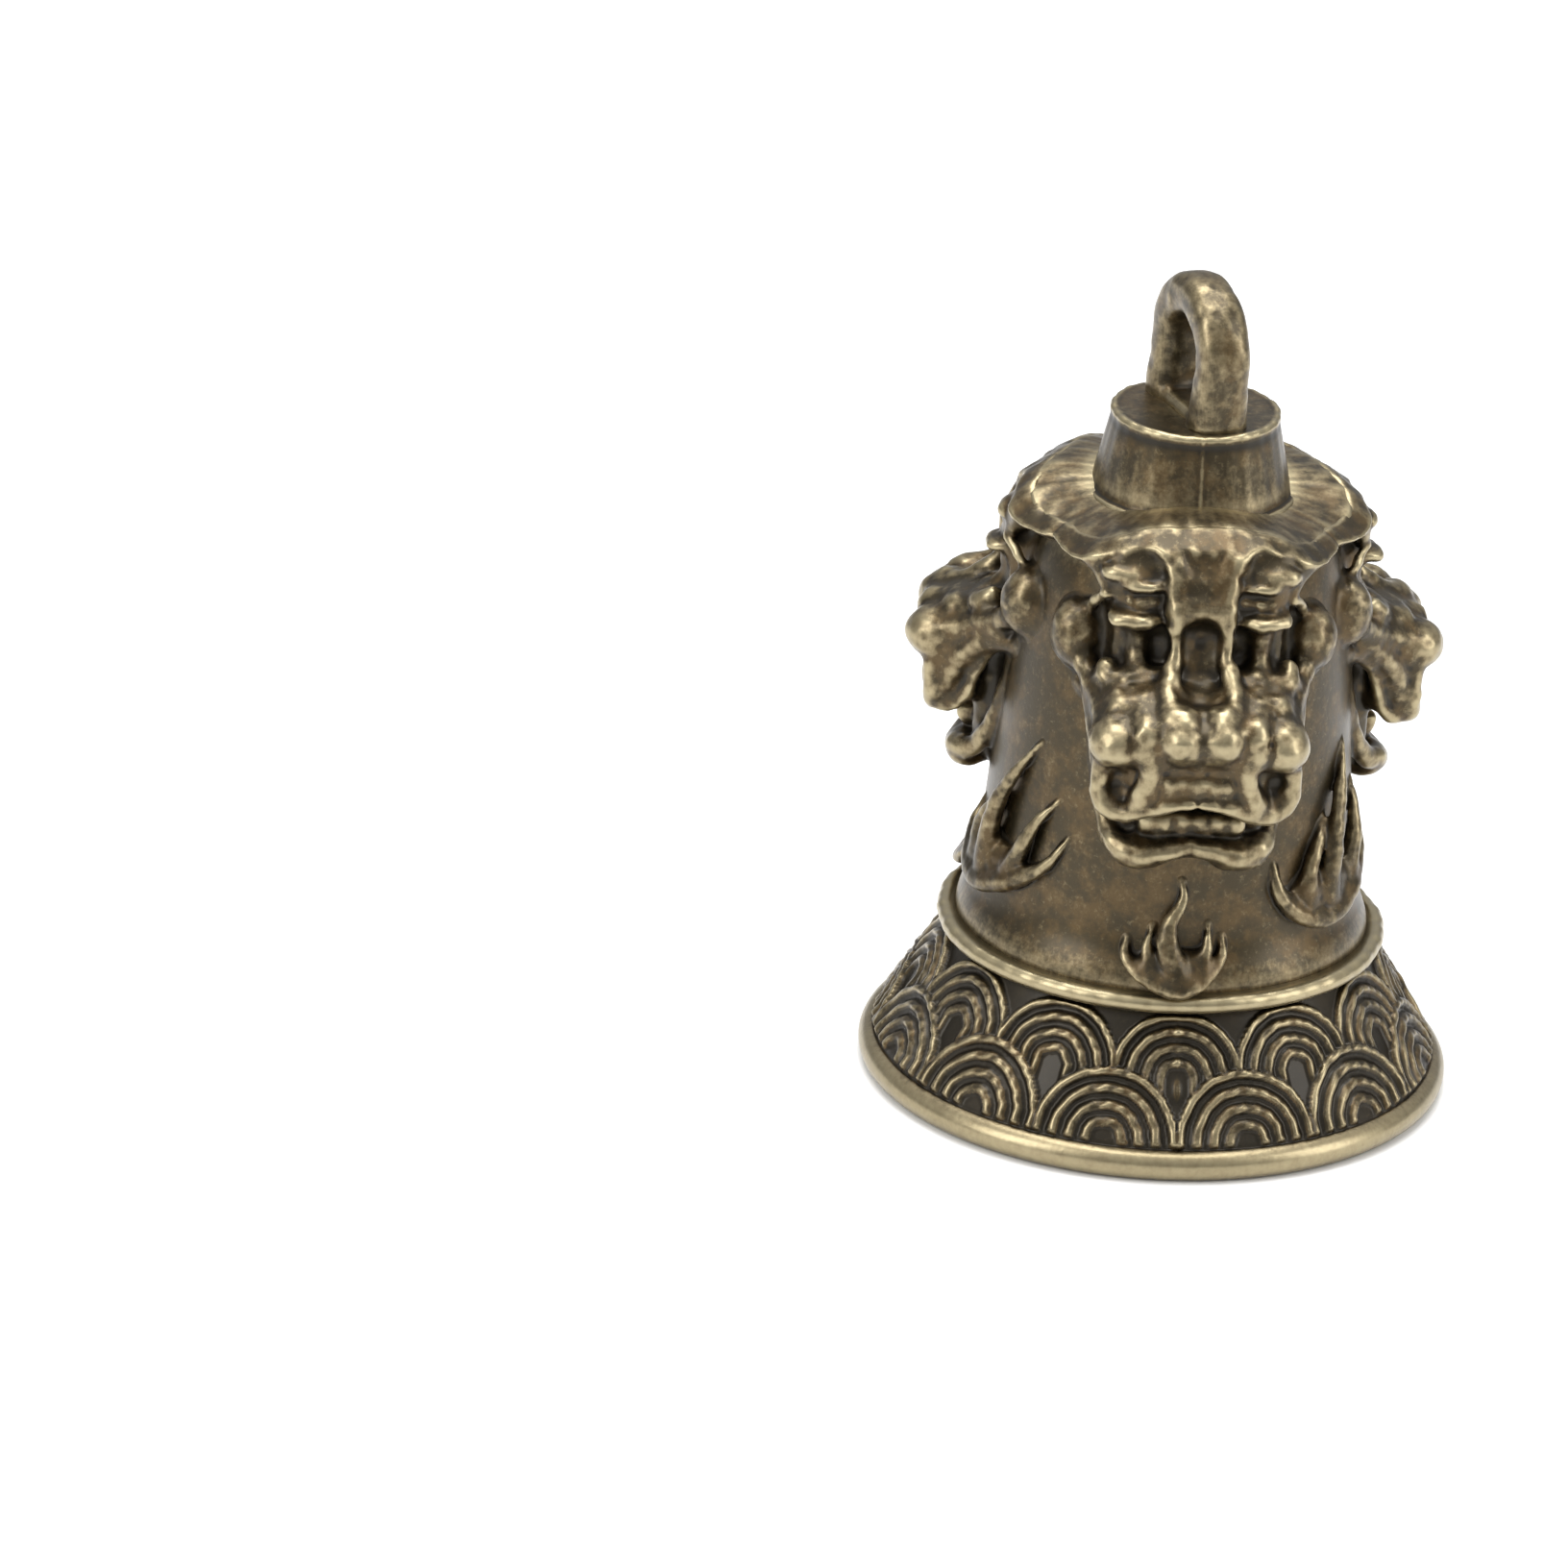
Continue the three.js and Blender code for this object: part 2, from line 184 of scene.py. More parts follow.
class Clay:
    """A block of modelling clay. Shapes are added to it and cut from it with soft edges."""

    def __init__(self, low, high, step):
        self.step = step
        self.axes = [np.arange(a, b + step / 2, step, dtype=np.float32) for a, b in zip(low, high)]
        self.field = np.full([len(axis) for axis in self.axes], FAR, np.float32)

    def grids(self, window=(slice(None),) * 3):
        return np.ix_(*[axis[part] for axis, part in zip(self.axes, window)])

    def _window(self, low, high, margin):
        parts = []
        for axis, a, b in zip(self.axes, low, high):
            first = max(int(np.searchsorted(axis, a - margin)), 0)
            last = min(int(np.searchsorted(axis, b + margin)) + 1, len(axis))
            parts.append(slice(first, max(last, first)))
        return tuple(parts)

    def add(self, shape, blend=0.3):
        low, high, distance = shape
        window = self._window(low, high, max(blend, 1.0))
        if self.field[window].size:
            self.field[window] = soft_min(self.field[window], distance(*self.grids(window)), blend)

    def cut(self, shape, blend=0.15):
        low, high, distance = shape
        window = self._window(low, high, max(blend, 0.3))
        if self.field[window].size:
            self.field[window] = soft_max(self.field[window], -distance(*self.grids(window)), blend)

    def soften(self, rounds):
        """Rounds every edge and crease over a little, as casting and wear do."""
        for _ in range(rounds):
            for axis in range(3):
                padded = np.pad(self.field, [(1, 1) if i == axis else (0, 0) for i in range(3)], "edge")
                parts = [np.take(padded, np.arange(k, k + self.field.shape[axis]), axis) for k in range(3)]
                self.field = 0.25 * (parts[0] + parts[2]) + 0.5 * parts[1]

    def roughen(self, cell, height, seed):
        """Uneven hand-worked lumps, about one cell across."""
        rng = np.random.default_rng(seed)
        counts = [max(int(np.ptp(axis) / cell) + 3, 4) for axis in self.axes]
        lattice = rng.uniform(-1, 1, counts).astype(np.float32)
        for number, axis in enumerate(self.axes):
            place = (axis - axis[0]) / cell
            low = place.astype(int)
            t = (place - low).reshape([-1 if i == number else 1 for i in range(3)])
            t = t * t * (3 - 2 * t)
            lattice = np.take(lattice, low, number) * (1 - t) + np.take(lattice, low + 1, number) * t
        self.field += height * lattice


def surface_net(field, axes):
    """Vertices and outward quads of the surface where the field is nought."""
    cells = np.array(field.shape) - 1
    points, owners, quads = [], [], []
    start = np.array([axis[0] for axis in axes], float)
    step = float(axes[0][1] - axes[0][0])
    for axis in range(3):
        near = [slice(None)] * 3
        far = [slice(None)] * 3
        near[axis], far[axis] = slice(0, -1), slice(1, None)
        a, b = field[tuple(near)], field[tuple(far)]
        crossing = (a < 0) != (b < 0)
        place = np.argwhere(crossing)
        first, second = a[crossing], b[crossing]
        across, along = (axis + 1) % 3, (axis + 2) % 3
        corners = []
        for shift_across, shift_along in ((-1, -1), (0, -1), (0, 0), (-1, 0)):
            corner = place.copy()
            corner[:, across] += shift_across
            corner[:, along] += shift_along
            corners.append(np.ravel_multi_index(np.clip(corner, 0, cells - 1).T, cells))
        quad = np.stack(corners, 1)
        flipped = first >= 0
        quad[flipped] = quad[flipped][:, ::-1]
        point = place.astype(float)
        point[:, axis] += first / (first - second)
        points.append(np.repeat(point, 4, 0))
        owners.append(np.stack(corners, 1).ravel())
        quads.append(quad)
    owners = np.concatenate(owners)
    points = np.concatenate(points)
    used, index = np.unique(owners, return_inverse=True)
    count = np.bincount(index)
    vertices = np.stack([np.bincount(index, points[:, i]) / count for i in range(3)], 1)
    quads = np.searchsorted(used, np.concatenate(quads))
    return start + step * vertices, quads


# ---------------------------------------------------------------- meshes


def waist_radius(z):
    return np.interp(z, WAIST_HEIGHTS, WAIST_RADII)


def rounded_waist(z):
    """The waist's radius with its corners eased, for smooth sculpting and turning."""
    return sum(waist_radius(z + shift) for shift in (-0.5, -0.25, 0, 0.25, 0.5)) / 5


def mesh_piece(name, vertices, faces, material, body, nodes, rubbed=None):
    """A smooth piece of the bell from design millimetres, worn according to its own shape.

    rubbed gives how much more than that each point is rubbed."""
    if not len(faces):
        raise RuntimeError(f"{name} has no faces")
    mesh = bpy.data.meshes.new(name)
    mesh.from_pydata((np.asarray(vertices) * unit()).tolist(), [], faces)
    mesh.polygons.foreach_set("use_smooth", np.ones(len(mesh.polygons), bool))
    mesh.update()
    add_wear(mesh, rubbed)
    mesh.materials.append(material)
    piece = bpy.data.objects.new(name, mesh)
    bpy.context.scene.collection.objects.link(piece)
    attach(piece, body)
    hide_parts(*nodes)
    return piece


def add_wear(mesh, rubbed):
    """Stores how far each point stands out of the surface round it, finely and broadly, about -1 to 1."""
    count = len(mesh.vertices)
    places = np.zeros(count * 3)
    mesh.vertices.foreach_get("co", places)
    places = places.reshape(-1, 3) / unit()
    normals = np.zeros(count * 3)
    mesh.vertex_normals.foreach_get("vector", normals)
    normals = normals.reshape(-1, 3)
    edges = np.zeros(len(mesh.edges) * 2, int)
    mesh.edges.foreach_get("vertices", edges)
    a, b = edges.reshape(-1, 2).T
    starts, ends = np.concatenate([a, b]), np.concatenate([b, a])
    degree = np.maximum(np.bincount(starts, minlength=count), 1)
    extra = rubbed(places) if rubbed else 0
    smooth = places.copy()
    done = 0
    for attribute, rounds, scale in (("edge_wear", 6, 0.025), ("relief", 60, 0.18)):
        while done < rounds:
            around = [np.bincount(starts, smooth[ends, i], minlength=count) / degree for i in range(3)]
            smooth = 0.4 * smooth + 0.6 * np.stack(around, 1)
            done += 1
        stand = np.einsum("ij,ij->i", places - smooth, normals) / scale + extra
        values = mesh.attributes.new(attribute, "FLOAT", "POINT")
        values.data.foreach_set("value", np.clip(stand, -1, 1).astype(np.float32))


def turned(profile, segments, modulate=None, closed=True):
    """A profile of (radius, height) rows turned round Z. modulate moves whole rows of points."""
    profile = np.asarray(profile, float)
    angles = np.arange(segments) * math.tau / segments
    radius = np.repeat(profile[:, :1], segments, 1)
    height = np.repeat(profile[:, 1:2], segments, 1)
    if modulate:
        radius, height = modulate(radius, height, angles)
    vertices = np.stack([radius * np.cos(angles), radius * np.sin(angles), height], 2).reshape(-1, 3)
    rows = len(profile)
    row = np.arange(rows if closed else rows - 1)[:, None] * segments
    nxt = (row + segments) % (rows * segments)
    column = np.arange(segments)[None, :]
    after = (column + 1) % segments
    quads = np.stack([row + column, row + after, nxt + after, nxt + column], 2).reshape(-1, 4)
    return vertices, quads


def arc(centre, radius, start, end, steps):
    angles = np.radians(np.linspace(start, end, steps))
    return np.stack([centre[0] + radius * np.cos(angles), centre[1] + radius * np.sin(angles)], 1)


def line(start, end, steps):
    return np.linspace(start, end, steps)


def spun(points, turn):
    """Points turned about Z."""
    cos, sin = math.cos(turn), math.sin(turn)
    x, y, z = points.T
    return np.stack([cos * x - sin * y, sin * x + cos * y, z], 1)


def facing(turns):
    """The turn that sends +X out through the place that many thirds of a turn from the front."""
    return -math.pi / 2 + turns * THIRD_TURN


# ---------------------------------------------------------------- shader building


class Value:
    """A shader socket that can be used in a Python expression."""

    def __init__(self, nodes, socket):
        self.nodes = nodes
        self.socket = socket

    def _math(self, operation, *others):
        return self.nodes.node("ShaderNodeMath", {"operation": operation}, dict(enumerate((self, *others))))

    def __add__(self, other):
        return self._math("ADD", other)

    def __mul__(self, other):
        return self._math("MULTIPLY", other)

    def __sub__(self, other):
        return self._math("SUBTRACT", other)

    def __rsub__(self, other):
        return self.nodes.node("ShaderNodeMath", {"operation": "SUBTRACT"}, {0: other, 1: self})

    __radd__ = __add__
    __rmul__ = __mul__

    def above(self, low, high):
        """0 below low, 1 above high, and a smooth rise between them."""
        sockets = {"Value": self, "From Min": low, "From Max": high, "To Min": 0.0, "To Max": 1.0}
        return self.nodes.node("ShaderNodeMapRange", {"interpolation_type": "SMOOTHSTEP"}, sockets)


# A Mix node's colour sockets, by place, because its number and vector sockets have the same names
MIX_COLOURS = (6, 7)
MIXED_COLOUR = 2


class Nodes:
    """The nodes of a material or a world."""

    def __init__(self, owner):
        owner.use_nodes = True
        self.tree = owner.node_tree

    def node(self, kind, settings=None, sockets=None, output=0):
        made = self.tree.nodes.new(kind)
        for key, value in (settings or {}).items():
            setattr(made, key, value)
        for key, value in (sockets or {}).items():
            self.fill(made.inputs[key], value)
        return Value(self, made.outputs[output])

    def fill(self, socket, value):
        if isinstance(value, Value):
            self.tree.links.new(value.socket, socket)
        else:
            socket.default_value = value

    def set(self, shader, **sockets):
        for key, value in sockets.items():
            self.fill(self.tree.nodes[shader].inputs[key.replace("_", " ")], value)


class Finish(Nodes):
    """A material with one Principled shader, and the ways to paint it."""

    def __init__(self, name):
        self.material = bpy.data.materials.new(name)
        super().__init__(self.material)
        self.place = self.node("ShaderNodeTexCoord", output="Object")

    def attribute(self, name):
        return self.node("ShaderNodeAttribute", {"attribute_name": name}, output="Fac")

    def noise(self, size, detail=3.0, stretch=(1, 1, 1), roughness=0.55):
        """Cloudy noise whose lumps are about size design millimetres across."""
        scaled = self.node("ShaderNodeMapping", {"vector_type": "POINT"}, {"Vector": self.place, "Scale": stretch})
        sockets = {"Vector": scaled, "Scale": 1 / (size * unit()), "Detail": detail, "Roughness": roughness}
        return self.node("ShaderNodeTexNoise", None, sockets, output="Fac")

    def mix(self, mask, first, second):
        """First where the mask is 0 and second where it is 1."""
        sockets = {"Factor": mask, MIX_COLOURS[0]: first, MIX_COLOURS[1]: second}
        return self.node("ShaderNodeMix", {"data_type": "RGBA"}, sockets, MIXED_COLOUR)

    def paint(self, **sockets):
        self.set("Principled BSDF", **sockets)


def rgba(colour):
    return (*colour, 1.0)


def aged_brass(name, bareness=0.0, gloom=0.0):
    """Antiqued brass: bright where it stands out, brown on the flats and nearly black in the hollows."""
    look = bpy.context.scene.bell_finish
    finish = Finish(name)
    edge = finish.attribute("edge_wear")
    relief = finish.attribute("relief")
    cloud = finish.noise(3.2, 4.0)
    mottle = finish.noise(0.9, 5.0, roughness=0.65)
    grain = finish.noise(0.22, 2.0)
    brushed = finish.noise(0.35, 3.0, stretch=(1, 1, 0.25))
    flecks = finish.noise(0.3, 5.0, roughness=0.7).above(0.55, 0.75)

    warm = (0.5 * cloud + 0.5 * mottle).above(0.44, 0.6)
    patina = finish.mix(warm, rgba(look.brown), rgba(look.amber))
    stands = 0.75 * edge + 0.55 * relief + 0.5 * (grain - 0.5) + 0.7 * (mottle - 0.5) + 0.35 * (brushed - 0.5)
    bare = (stands + bareness).above(0.16, 0.85)
    polished = (stands + bareness).above(0.55, 1.3)
    sunk = (-0.6 * relief - 0.75 * edge + 0.25 * (mottle - 0.5) + gloom).above(0.12, 0.75)

    colour = finish.mix(0.4 * flecks, patina, rgba(look.brass))
    colour = finish.mix(0.85 * bare, colour, rgba(look.brass))
    colour = finish.mix(0.65 * polished, colour, rgba(look.gold))
    colour = finish.mix(0.92 * sunk, colour, rgba(look.soot))
    rough = 0.36 + 0.14 * mottle - 0.08 * bare + 0.1 * sunk
    height = 0.5 * grain + 0.35 * mottle + 0.3 * brushed
    bump = {"Strength": 0.35, "Distance": 0.05 * unit(), "Height": height}
    finish.paint(
        Base_Color=colour,
        Metallic=0.97,
        Roughness=rough,
        Coat_Weight=0.32,
        Coat_Roughness=0.28,
        Normal=finish.node("ShaderNodeBump", None, bump),
    )
    return finish.material


# ---------------------------------------------------------------- properties


class BellSizes(bpy.types.PropertyGroup):
    scales_in_row: bpy.props.IntProperty(
        name="Scales in a row", description="Scales round each of the skirt's two rows", default=12, min=6, max=24
    )
    scale_height: bpy.props.FloatProperty(
        name="Scale height", description="How far the ridges of the scales stand out", default=0.00036, unit="LENGTH"
    )
    sculpt_step: bpy.props.FloatProperty(
        name="Sculpting step", description="The grid that heads and claws are modelled on", default=0.0001,
        unit="LENGTH",
    )
    seam_width: bpy.props.FloatProperty(
        name="Parting line", description="Width of the casting's parting line", default=0.00012, unit="LENGTH"
    )


def colour_property(name, description, default):
    return bpy.props.FloatVectorProperty(
        name=name, description=description, default=default, subtype="COLOR", size=3, min=0, max=1
    )


class BellFinish(bpy.types.PropertyGroup):
    brass: colour_property("Brass", "Metal that shows through the patina", (0.27, 0.215, 0.12))
    gold: colour_property("Polished brass", "Metal on the edges that hands rub", (0.43, 0.365, 0.22))
    brown: colour_property("Brown patina", "The patina on the flats", (0.049, 0.037, 0.019))
    amber: colour_property("Amber patina", "Warmer patches of patina", (0.09, 0.059, 0.025))
    soot: colour_property("Dark patina", "What is left in the hollows", (0.022, 0.018, 0.012))


# ---------------------------------------------------------------- the bell shell and its ring

SKIRT_ROWS = 78
FINE_SEGMENTS = 720
COARSE_SEGMENTS = 240
# Each row of scales: height of its centres up the slant, ridge radii, angle of the first centre
SCALE_ARCS = (3.5, 2.62, 1.74, 0.9)


def rub_lip_most(places):
    """The lip is bare, and the scales above it are shielded by their own ridges."""
    return np.where(places[:, 2] < SKIRT_FOOT[1], 0.22, np.where(places[:, 2] < SKIRT_TOP[1], -0.46, 0.0))


def ridge(distance, half_width):
    """A rounded ridge, steeper on its inner side: 1 along its crest and 0 outside its width."""
    width = np.where(distance < 0, 0.8, 1.15) * half_width
    return np.clip(1 - (distance / width) ** 2, 0, 1) ** 0.8


def scale_relief(angles, up_slant, radius):
    """Height of the overlapping scales on the skirt, 0 to about 1, from the angle and the way up."""
    sizes = bpy.context.scene.bell_sizes
    pitch = math.tau / sizes.scales_in_row
    relief = np.zeros(np.broadcast(angles, up_slant).shape)
    rows = ((3.55, 0.0, 0.0, 0.92), (0.25, 0.5, 0.12, 1.0))
    for centre, offset, base, size in rows:
        turn = (angles / pitch - offset + 0.5) % 1 - 0.5
        mean_radius = np.interp(centre, [0, 6.9], [14.2, 10.65]) if centre > 0 else 14.0
        across = turn * pitch * (0.5 * radius + 0.5 * mean_radius)
        above = np.maximum(up_slant - centre, 0)
        spoke = np.arctan2(above, across)
        wobble = 0.03 * np.sin(5 * spoke + 3 * angles) + 0.01 * np.sin(17 * spoke + 11 * angles)
        reach = np.hypot(across / size, above / size) + wobble
        body = reach < SCALE_ARCS[0] + 0.24
        height = np.full_like(relief, base)
        for number, arc_radius in enumerate(SCALE_ARCS):
            crest = 1 - 0.1 * number
            height = np.maximum(height, base + crest * ridge(reach - arc_radius, 0.34))
        relief = np.where(body, height, relief)
    fade = np.clip(np.minimum(up_slant / 0.25, (6.95 - up_slant) / 0.3), 0, 1)
    worn = 0.9 + 0.07 * np.sin(41 * angles + 2.3 * up_slant) + 0.06 * np.sin(97 * angles - 5.1 * up_slant)
    return relief * fade * worn


def parting_line(angles, radius, spread=1.0):
    """The casting's parting line at the front and the back: 1 along its crest."""
    width = spread * bpy.context.scene.bell_sizes.seam_width / unit()
    across = (angles % math.pi - math.pi / 2) * radius
    return np.exp(-((across / width) ** 2))


def shell_profile_above():
    """The outside of the waist and shoulder, then the inside of the crown, waist and skirt."""
    heights = np.linspace(8.2, 30.2, 190)
    outside = np.stack([rounded_waist(heights), heights], 1)
    outside[0, 0] = 10.35
    crown = np.array([[6.4, 30.2], [4, 30.2], [0.01, 30.2]])
    ceiling = np.array([[0.01, 28.6], [3, 28.6], [5, 28.55], [6.0, 28.1], [6.55, 27.2]])
    inner_heights = np.linspace(26, 9.5, 16)
    inside = np.stack([rounded_waist(inner_heights) - WALL, inner_heights], 1)
    skirt = line((9.05, 8.0), (13.05, 1.0), 12)
    return np.vstack([outside, crown, ceiling, inside, skirt])


def build_shell():
    sizes = bpy.context.scene.bell_sizes
    slant = np.array(SKIRT_TOP) - np.array(SKIRT_FOOT)
    slant_length = float(np.hypot(*slant))
    normal = np.array([slant[1], -slant[0]]) / slant_length
    foot = np.array([[13.2, 0.35], [13.7, 0.0], [14.15, 0.0]])
    lip = arc(LIP_CENTRE, LIP_BEAD, -90, 84, 22)
    skirt = line(SKIRT_FOOT, SKIRT_TOP, SKIRT_ROWS)
    tuck = np.array([[10.45, 7.8]])
    fine = np.vstack([foot, lip, skirt, tuck])
    first = len(foot) + len(lip)
    up_slant = np.linspace(0, slant_length, SKIRT_ROWS)[:, None]

    def emboss(radius, height, angles):
        rows = slice(first, first + SKIRT_ROWS)
        relief = scale_relief(angles[None, :] + math.pi / 2, up_slant, radius[rows])
        lift = (relief * sizes.scale_height - 0.00006) / unit()
        flash = 0.09 + 0.05 * np.sin(4.3 * up_slant + 1)
        lift += flash * parting_line(angles[None, :], radius[rows], spread=1.8)
        radius[rows] += lift * normal[0]
        height[rows] += lift * normal[1]
        return radius, height

    vertices, quads = turned(fine, FINE_SEGMENTS, emboss, closed=False)
    upper, upper_quads = turned(shell_profile_above(), COARSE_SEGMENTS, closed=False)
    offset = len(vertices)
    faces = quads.tolist() + (upper_quads + offset).tolist()
    ratio = FINE_SEGMENTS // COARSE_SEGMENTS
    fine_top = offset - FINE_SEGMENTS
    coarse_end = offset + len(upper) - COARSE_SEGMENTS
    for i in range(COARSE_SEGMENTS):
        following = (i + 1) % COARSE_SEGMENTS
        steps = [(ratio * i + k) % FINE_SEGMENTS for k in range(ratio + 1)]
        faces.append([fine_top + s for s in steps] + [offset + following, offset + i])
        faces.append([coarse_end + i, coarse_end + following] + [s for s in reversed(steps)])
    return np.vstack([vertices, upper]), faces


class BELL_OT_shell(bpy.types.Operator):
    """Turns the hollow shell, embosses the scales on its skirt and lays the ring round its waist"""

    bl_idname = "bell.shell"
    bl_label = "Bell shell and ring"

    def execute(self, context):
        vertices, faces = build_shell()
        metal = aged_brass("Cast brass", bareness=-0.17)
        mesh_piece("bell_shell_cast", vertices, faces, metal, "bell", ["bell_shell"], rub_lip_most)
        build_ring()
        return {"FINISHED"}


def build_ring():
    outer = arc(RING_CENTRE, RING_BEAD, -88, 88, 16)
    inner = np.array([[10.42, 8.54], [10.42, 7.66]])

    def uneven(radius, height, angles):
        ripple = 0.03 * np.sin(9 * angles + 1.3) + 0.02 * np.sin(23 * angles) + 0.012 * np.sin(57 * angles + 2)
        rows = slice(0, len(outer))
        radius[rows] += ripple
        height[rows] += 0.6 * ripple
        return radius, height

    vertices, quads = turned(np.vstack([outer, inner]), 480, uneven)
    metal = aged_brass("Worn brass", bareness=0.15)
    mesh_piece("waist_ring_cast", vertices, quads.tolist(), metal, "bell", ["waist_ring"])


# ---------------------------------------------------------------- crown plate, collar and loop


def from_head(angles):
    """The angle from the nearest head's middle line."""
    return (angles + math.pi / 2 + THIRD_TURN / 2) % THIRD_TURN - THIRD_TURN / 2


def ease(value, low, high):
    t = np.clip((value - low) / (high - low), 0, 1)
    return t * t * (3 - 2 * t)


def plate_edge(angles):
    """Radius of the crown plate: straight over each brow, and drawn in a little between heads."""
    turn = np.abs(from_head(angles))
    straight = BROW_FRONT / np.cos(turn)
    rounded = BROW_REACH + (PLATE_RADIUS - BROW_REACH) * ease(turn, BROW_CORNER, THIRD_TURN / 2)
    wavy = 0.04 * np.sin(17 * angles) + 0.03 * np.sin(31 * angles + 1.1) + 0.02 * np.sin(53 * angles + 0.4)
    return (straight**-20 + rounded**-20) ** (-1 / 20) + wavy


def plate_top(radius, angles):
    """Height of the crown plate, which swells over each head, droops between them and rounds off at its edge."""
    turn = from_head(angles)
    out = np.clip((radius - COLLAR_FOOT[0]) / (plate_edge(angles) - COLLAR_FOOT[0]), 0, 1)
    inner = COLLAR_FOOT[1] + 0.85 * np.cos(1.5 * turn) ** 2
    outer = 32.35 - 1.3 * ease(np.abs(turn), 0.4 * BROW_CORNER, 1.5 * BROW_CORNER)
    uneven = 0.03 * np.sin(13 * angles + 2.0 * radius) + 0.02 * np.sin(29 * angles - 3.1 * radius)
    return inner + (outer - inner) * out - 0.25 * out**5 + uneven * out


def rub_plate(places):
    """The plate's top is rubbed all over, most of all round its outside."""
    return 0.12 - 0.2 * ease(np.hypot(places[:, 0], places[:, 1]), COLLAR_FOOT[0], PLATE_RADIUS)


def build_plate():
    spread = np.concatenate([np.linspace(0, 0.94, 26), np.full(9, 1.0), np.linspace(0.96, 0, 8)])
    profile = np.stack([spread, spread], 1)

    def shape(radius, height, angles):
        edge = plate_edge(angles)[None, :]
        rows = np.arange(len(spread))
        top = rows < 26
        radius[:] = 4.6 + (edge - 4.6) * spread[:, None]
        height[:] = PLATE_UNDER + 0.02
        brushed = 0.004 * np.sin(67 * angles) + 0.005 * np.sin(41 * angles + 0.7)
        height[top] = plate_top(radius[top], angles[None, :]) + brushed
        bend = np.linspace(0, math.pi, 9)[:, None]
        rim_top = plate_top(edge, angles[None, :])
        thick = (rim_top - PLATE_UNDER) / 2
        radius[26:35] = edge - 0.06 * (edge - 4.6) + 0.07 * (edge - 4.6) * np.sin(bend)
        height[26:35] = PLATE_UNDER + thick + thick * np.cos(bend)
        return radius, height

    vertices, quads = turned(profile, 420, shape)
    return vertices, quads[:, ::-1]


def build_collar():
    bead = arc((COLLAR_TOP[0] - 0.22, COLLAR_TOP[1] - 0.25), 0.25, 0, 90, 8)
    side = line((COLLAR_FOOT[0] - 0.05, 31.95), (COLLAR_TOP[0] - 0.02, 35.45), 16)
    foot = np.array([[4.4, 31.3], [5.3, 31.5], [5.34, 31.68], [5.26, 31.8], [5.1, 31.84]])
    top = line((3.85, 35.97), (0.02, 35.92), 22)
    bottom = np.array([[0.01, 31.3]])

    def uneven(radius, height, angles):
        dents = 0.02 * np.sin(5 * angles + 0.4) + 0.015 * np.sin(11 * angles) + 0.01 * np.sin(29 * angles)
        rows = slice(1, len(foot) + len(side) + len(bead))
        radius[rows] += dents
        height[len(foot) + len(side) : rows.stop] += dents
        radius[rows] += 0.05 * parting_line(angles, COLLAR_FOOT[0])
        return radius, height

    return turned(np.vstack([foot, side, bead, top, bottom]), 480, uneven)


def build_loop(step):
    """A flat arch of round-cornered bar on the collar, with a low sill across the foot of its hole."""
    foot, top = COLLAR_TOP[1], LOOP_TOP
    clay = Clay((-2.0, -4.3, foot - 0.5), (2.0, 4.3, top + 0.4), step)
    x, y, z = clay.grids()
    centre = top - LOOP_HALF_WIDTH
    bar = (LOOP_HALF_WIDTH - LOOP_HOLE) / 2
    middle = LOOP_HOLE + bar
    splay = 1 - 0.02 * np.clip(centre - z, 0, 9)
    arch = np.where(z > centre, np.hypot(y, z - centre), np.abs(y) / splay) - middle
    thickness = LOOP_HALF_THICKNESS * (1 + 0.05 * np.clip(centre - z, 0, 4))
    flat = np.abs(arch) / (bar + 0.05)
    deep = np.abs(x) / thickness
    section = (flat**2.6 + deep**2.6 + 0 * z) ** (1 / 2.6)
    clay.field = ((section - 1) * bar).astype(np.float32)
    clay.add(block((0, 0, foot - 0.3), (1.15, 2.6, 0.3 + LOOP_SILL), 0.4), 0.5)
    floor = (foot - 0.1 - z) + 0 * x + 0 * y
    clay.field = soft_max(clay.field, floor.astype(np.float32), 0)
    clay.roughen(1.3, 0.05, 5)
    clay.roughen(0.5, 0.025, 6)
    clay.field = np.maximum(clay.field, (foot - 0.2 - z) + 0 * x + 0 * y).astype(np.float32)
    vertices, quads = surface_net(clay.field, clay.axes)
    return spun(vertices, LOOP_TURN - math.pi / 2), quads


class BELL_OT_crown(bpy.types.Operator):
    """Builds the crown plate, the tapered collar on it and the hanging loop"""

    bl_idname = "bell.crown"
    bl_label = "Crown plate, collar and loop"

    def execute(self, context):
        metal = aged_brass("Crown brass", bareness=0.26)
        vertices, quads = build_plate()
        faces = quads.tolist()
        mesh_piece("crown_plate_cast", vertices, faces, metal, "bell", ["crown_plate"], rub_plate)
        vertices, quads = build_collar()
        mesh_piece("crown_collar_cast", vertices, quads.tolist(), metal, "bell", ["crown_collar"])
        vertices, quads = build_loop(context.scene.bell_sizes.sculpt_step / unit())
        worn = bpy.data.materials["Worn brass"]
        mesh_piece("hanger_loop_cast", vertices, quads.tolist(), worn, "bell", ["hanger_loop"])
        return {"FINISHED"}


# ---------------------------------------------------------------- dragon heads


# The clay that a head is sculpted in: how far out and up its near and far corners are, and how wide it is
HEAD_NEAR = (2.0, 14.3)
HEAD_FAR = (14.8, 33.2)
HEAD_SIDE = 8.0


def shell_distance(x, y, z):
    """Distance from the outside of the waist and shoulder, with the crown plate on top."""
    waist = (np.hypot(x, y) - rounded_waist(z)) * 0.99
    angles = np.arctan2(y, x) - math.pi / 2
    radius = np.hypot(x, y)
    plate = np.maximum(radius - plate_edge(angles), z - plate_top(radius, angles))
    plate = np.maximum(plate, PLATE_UNDER - z)
    return np.minimum(waist, plate)


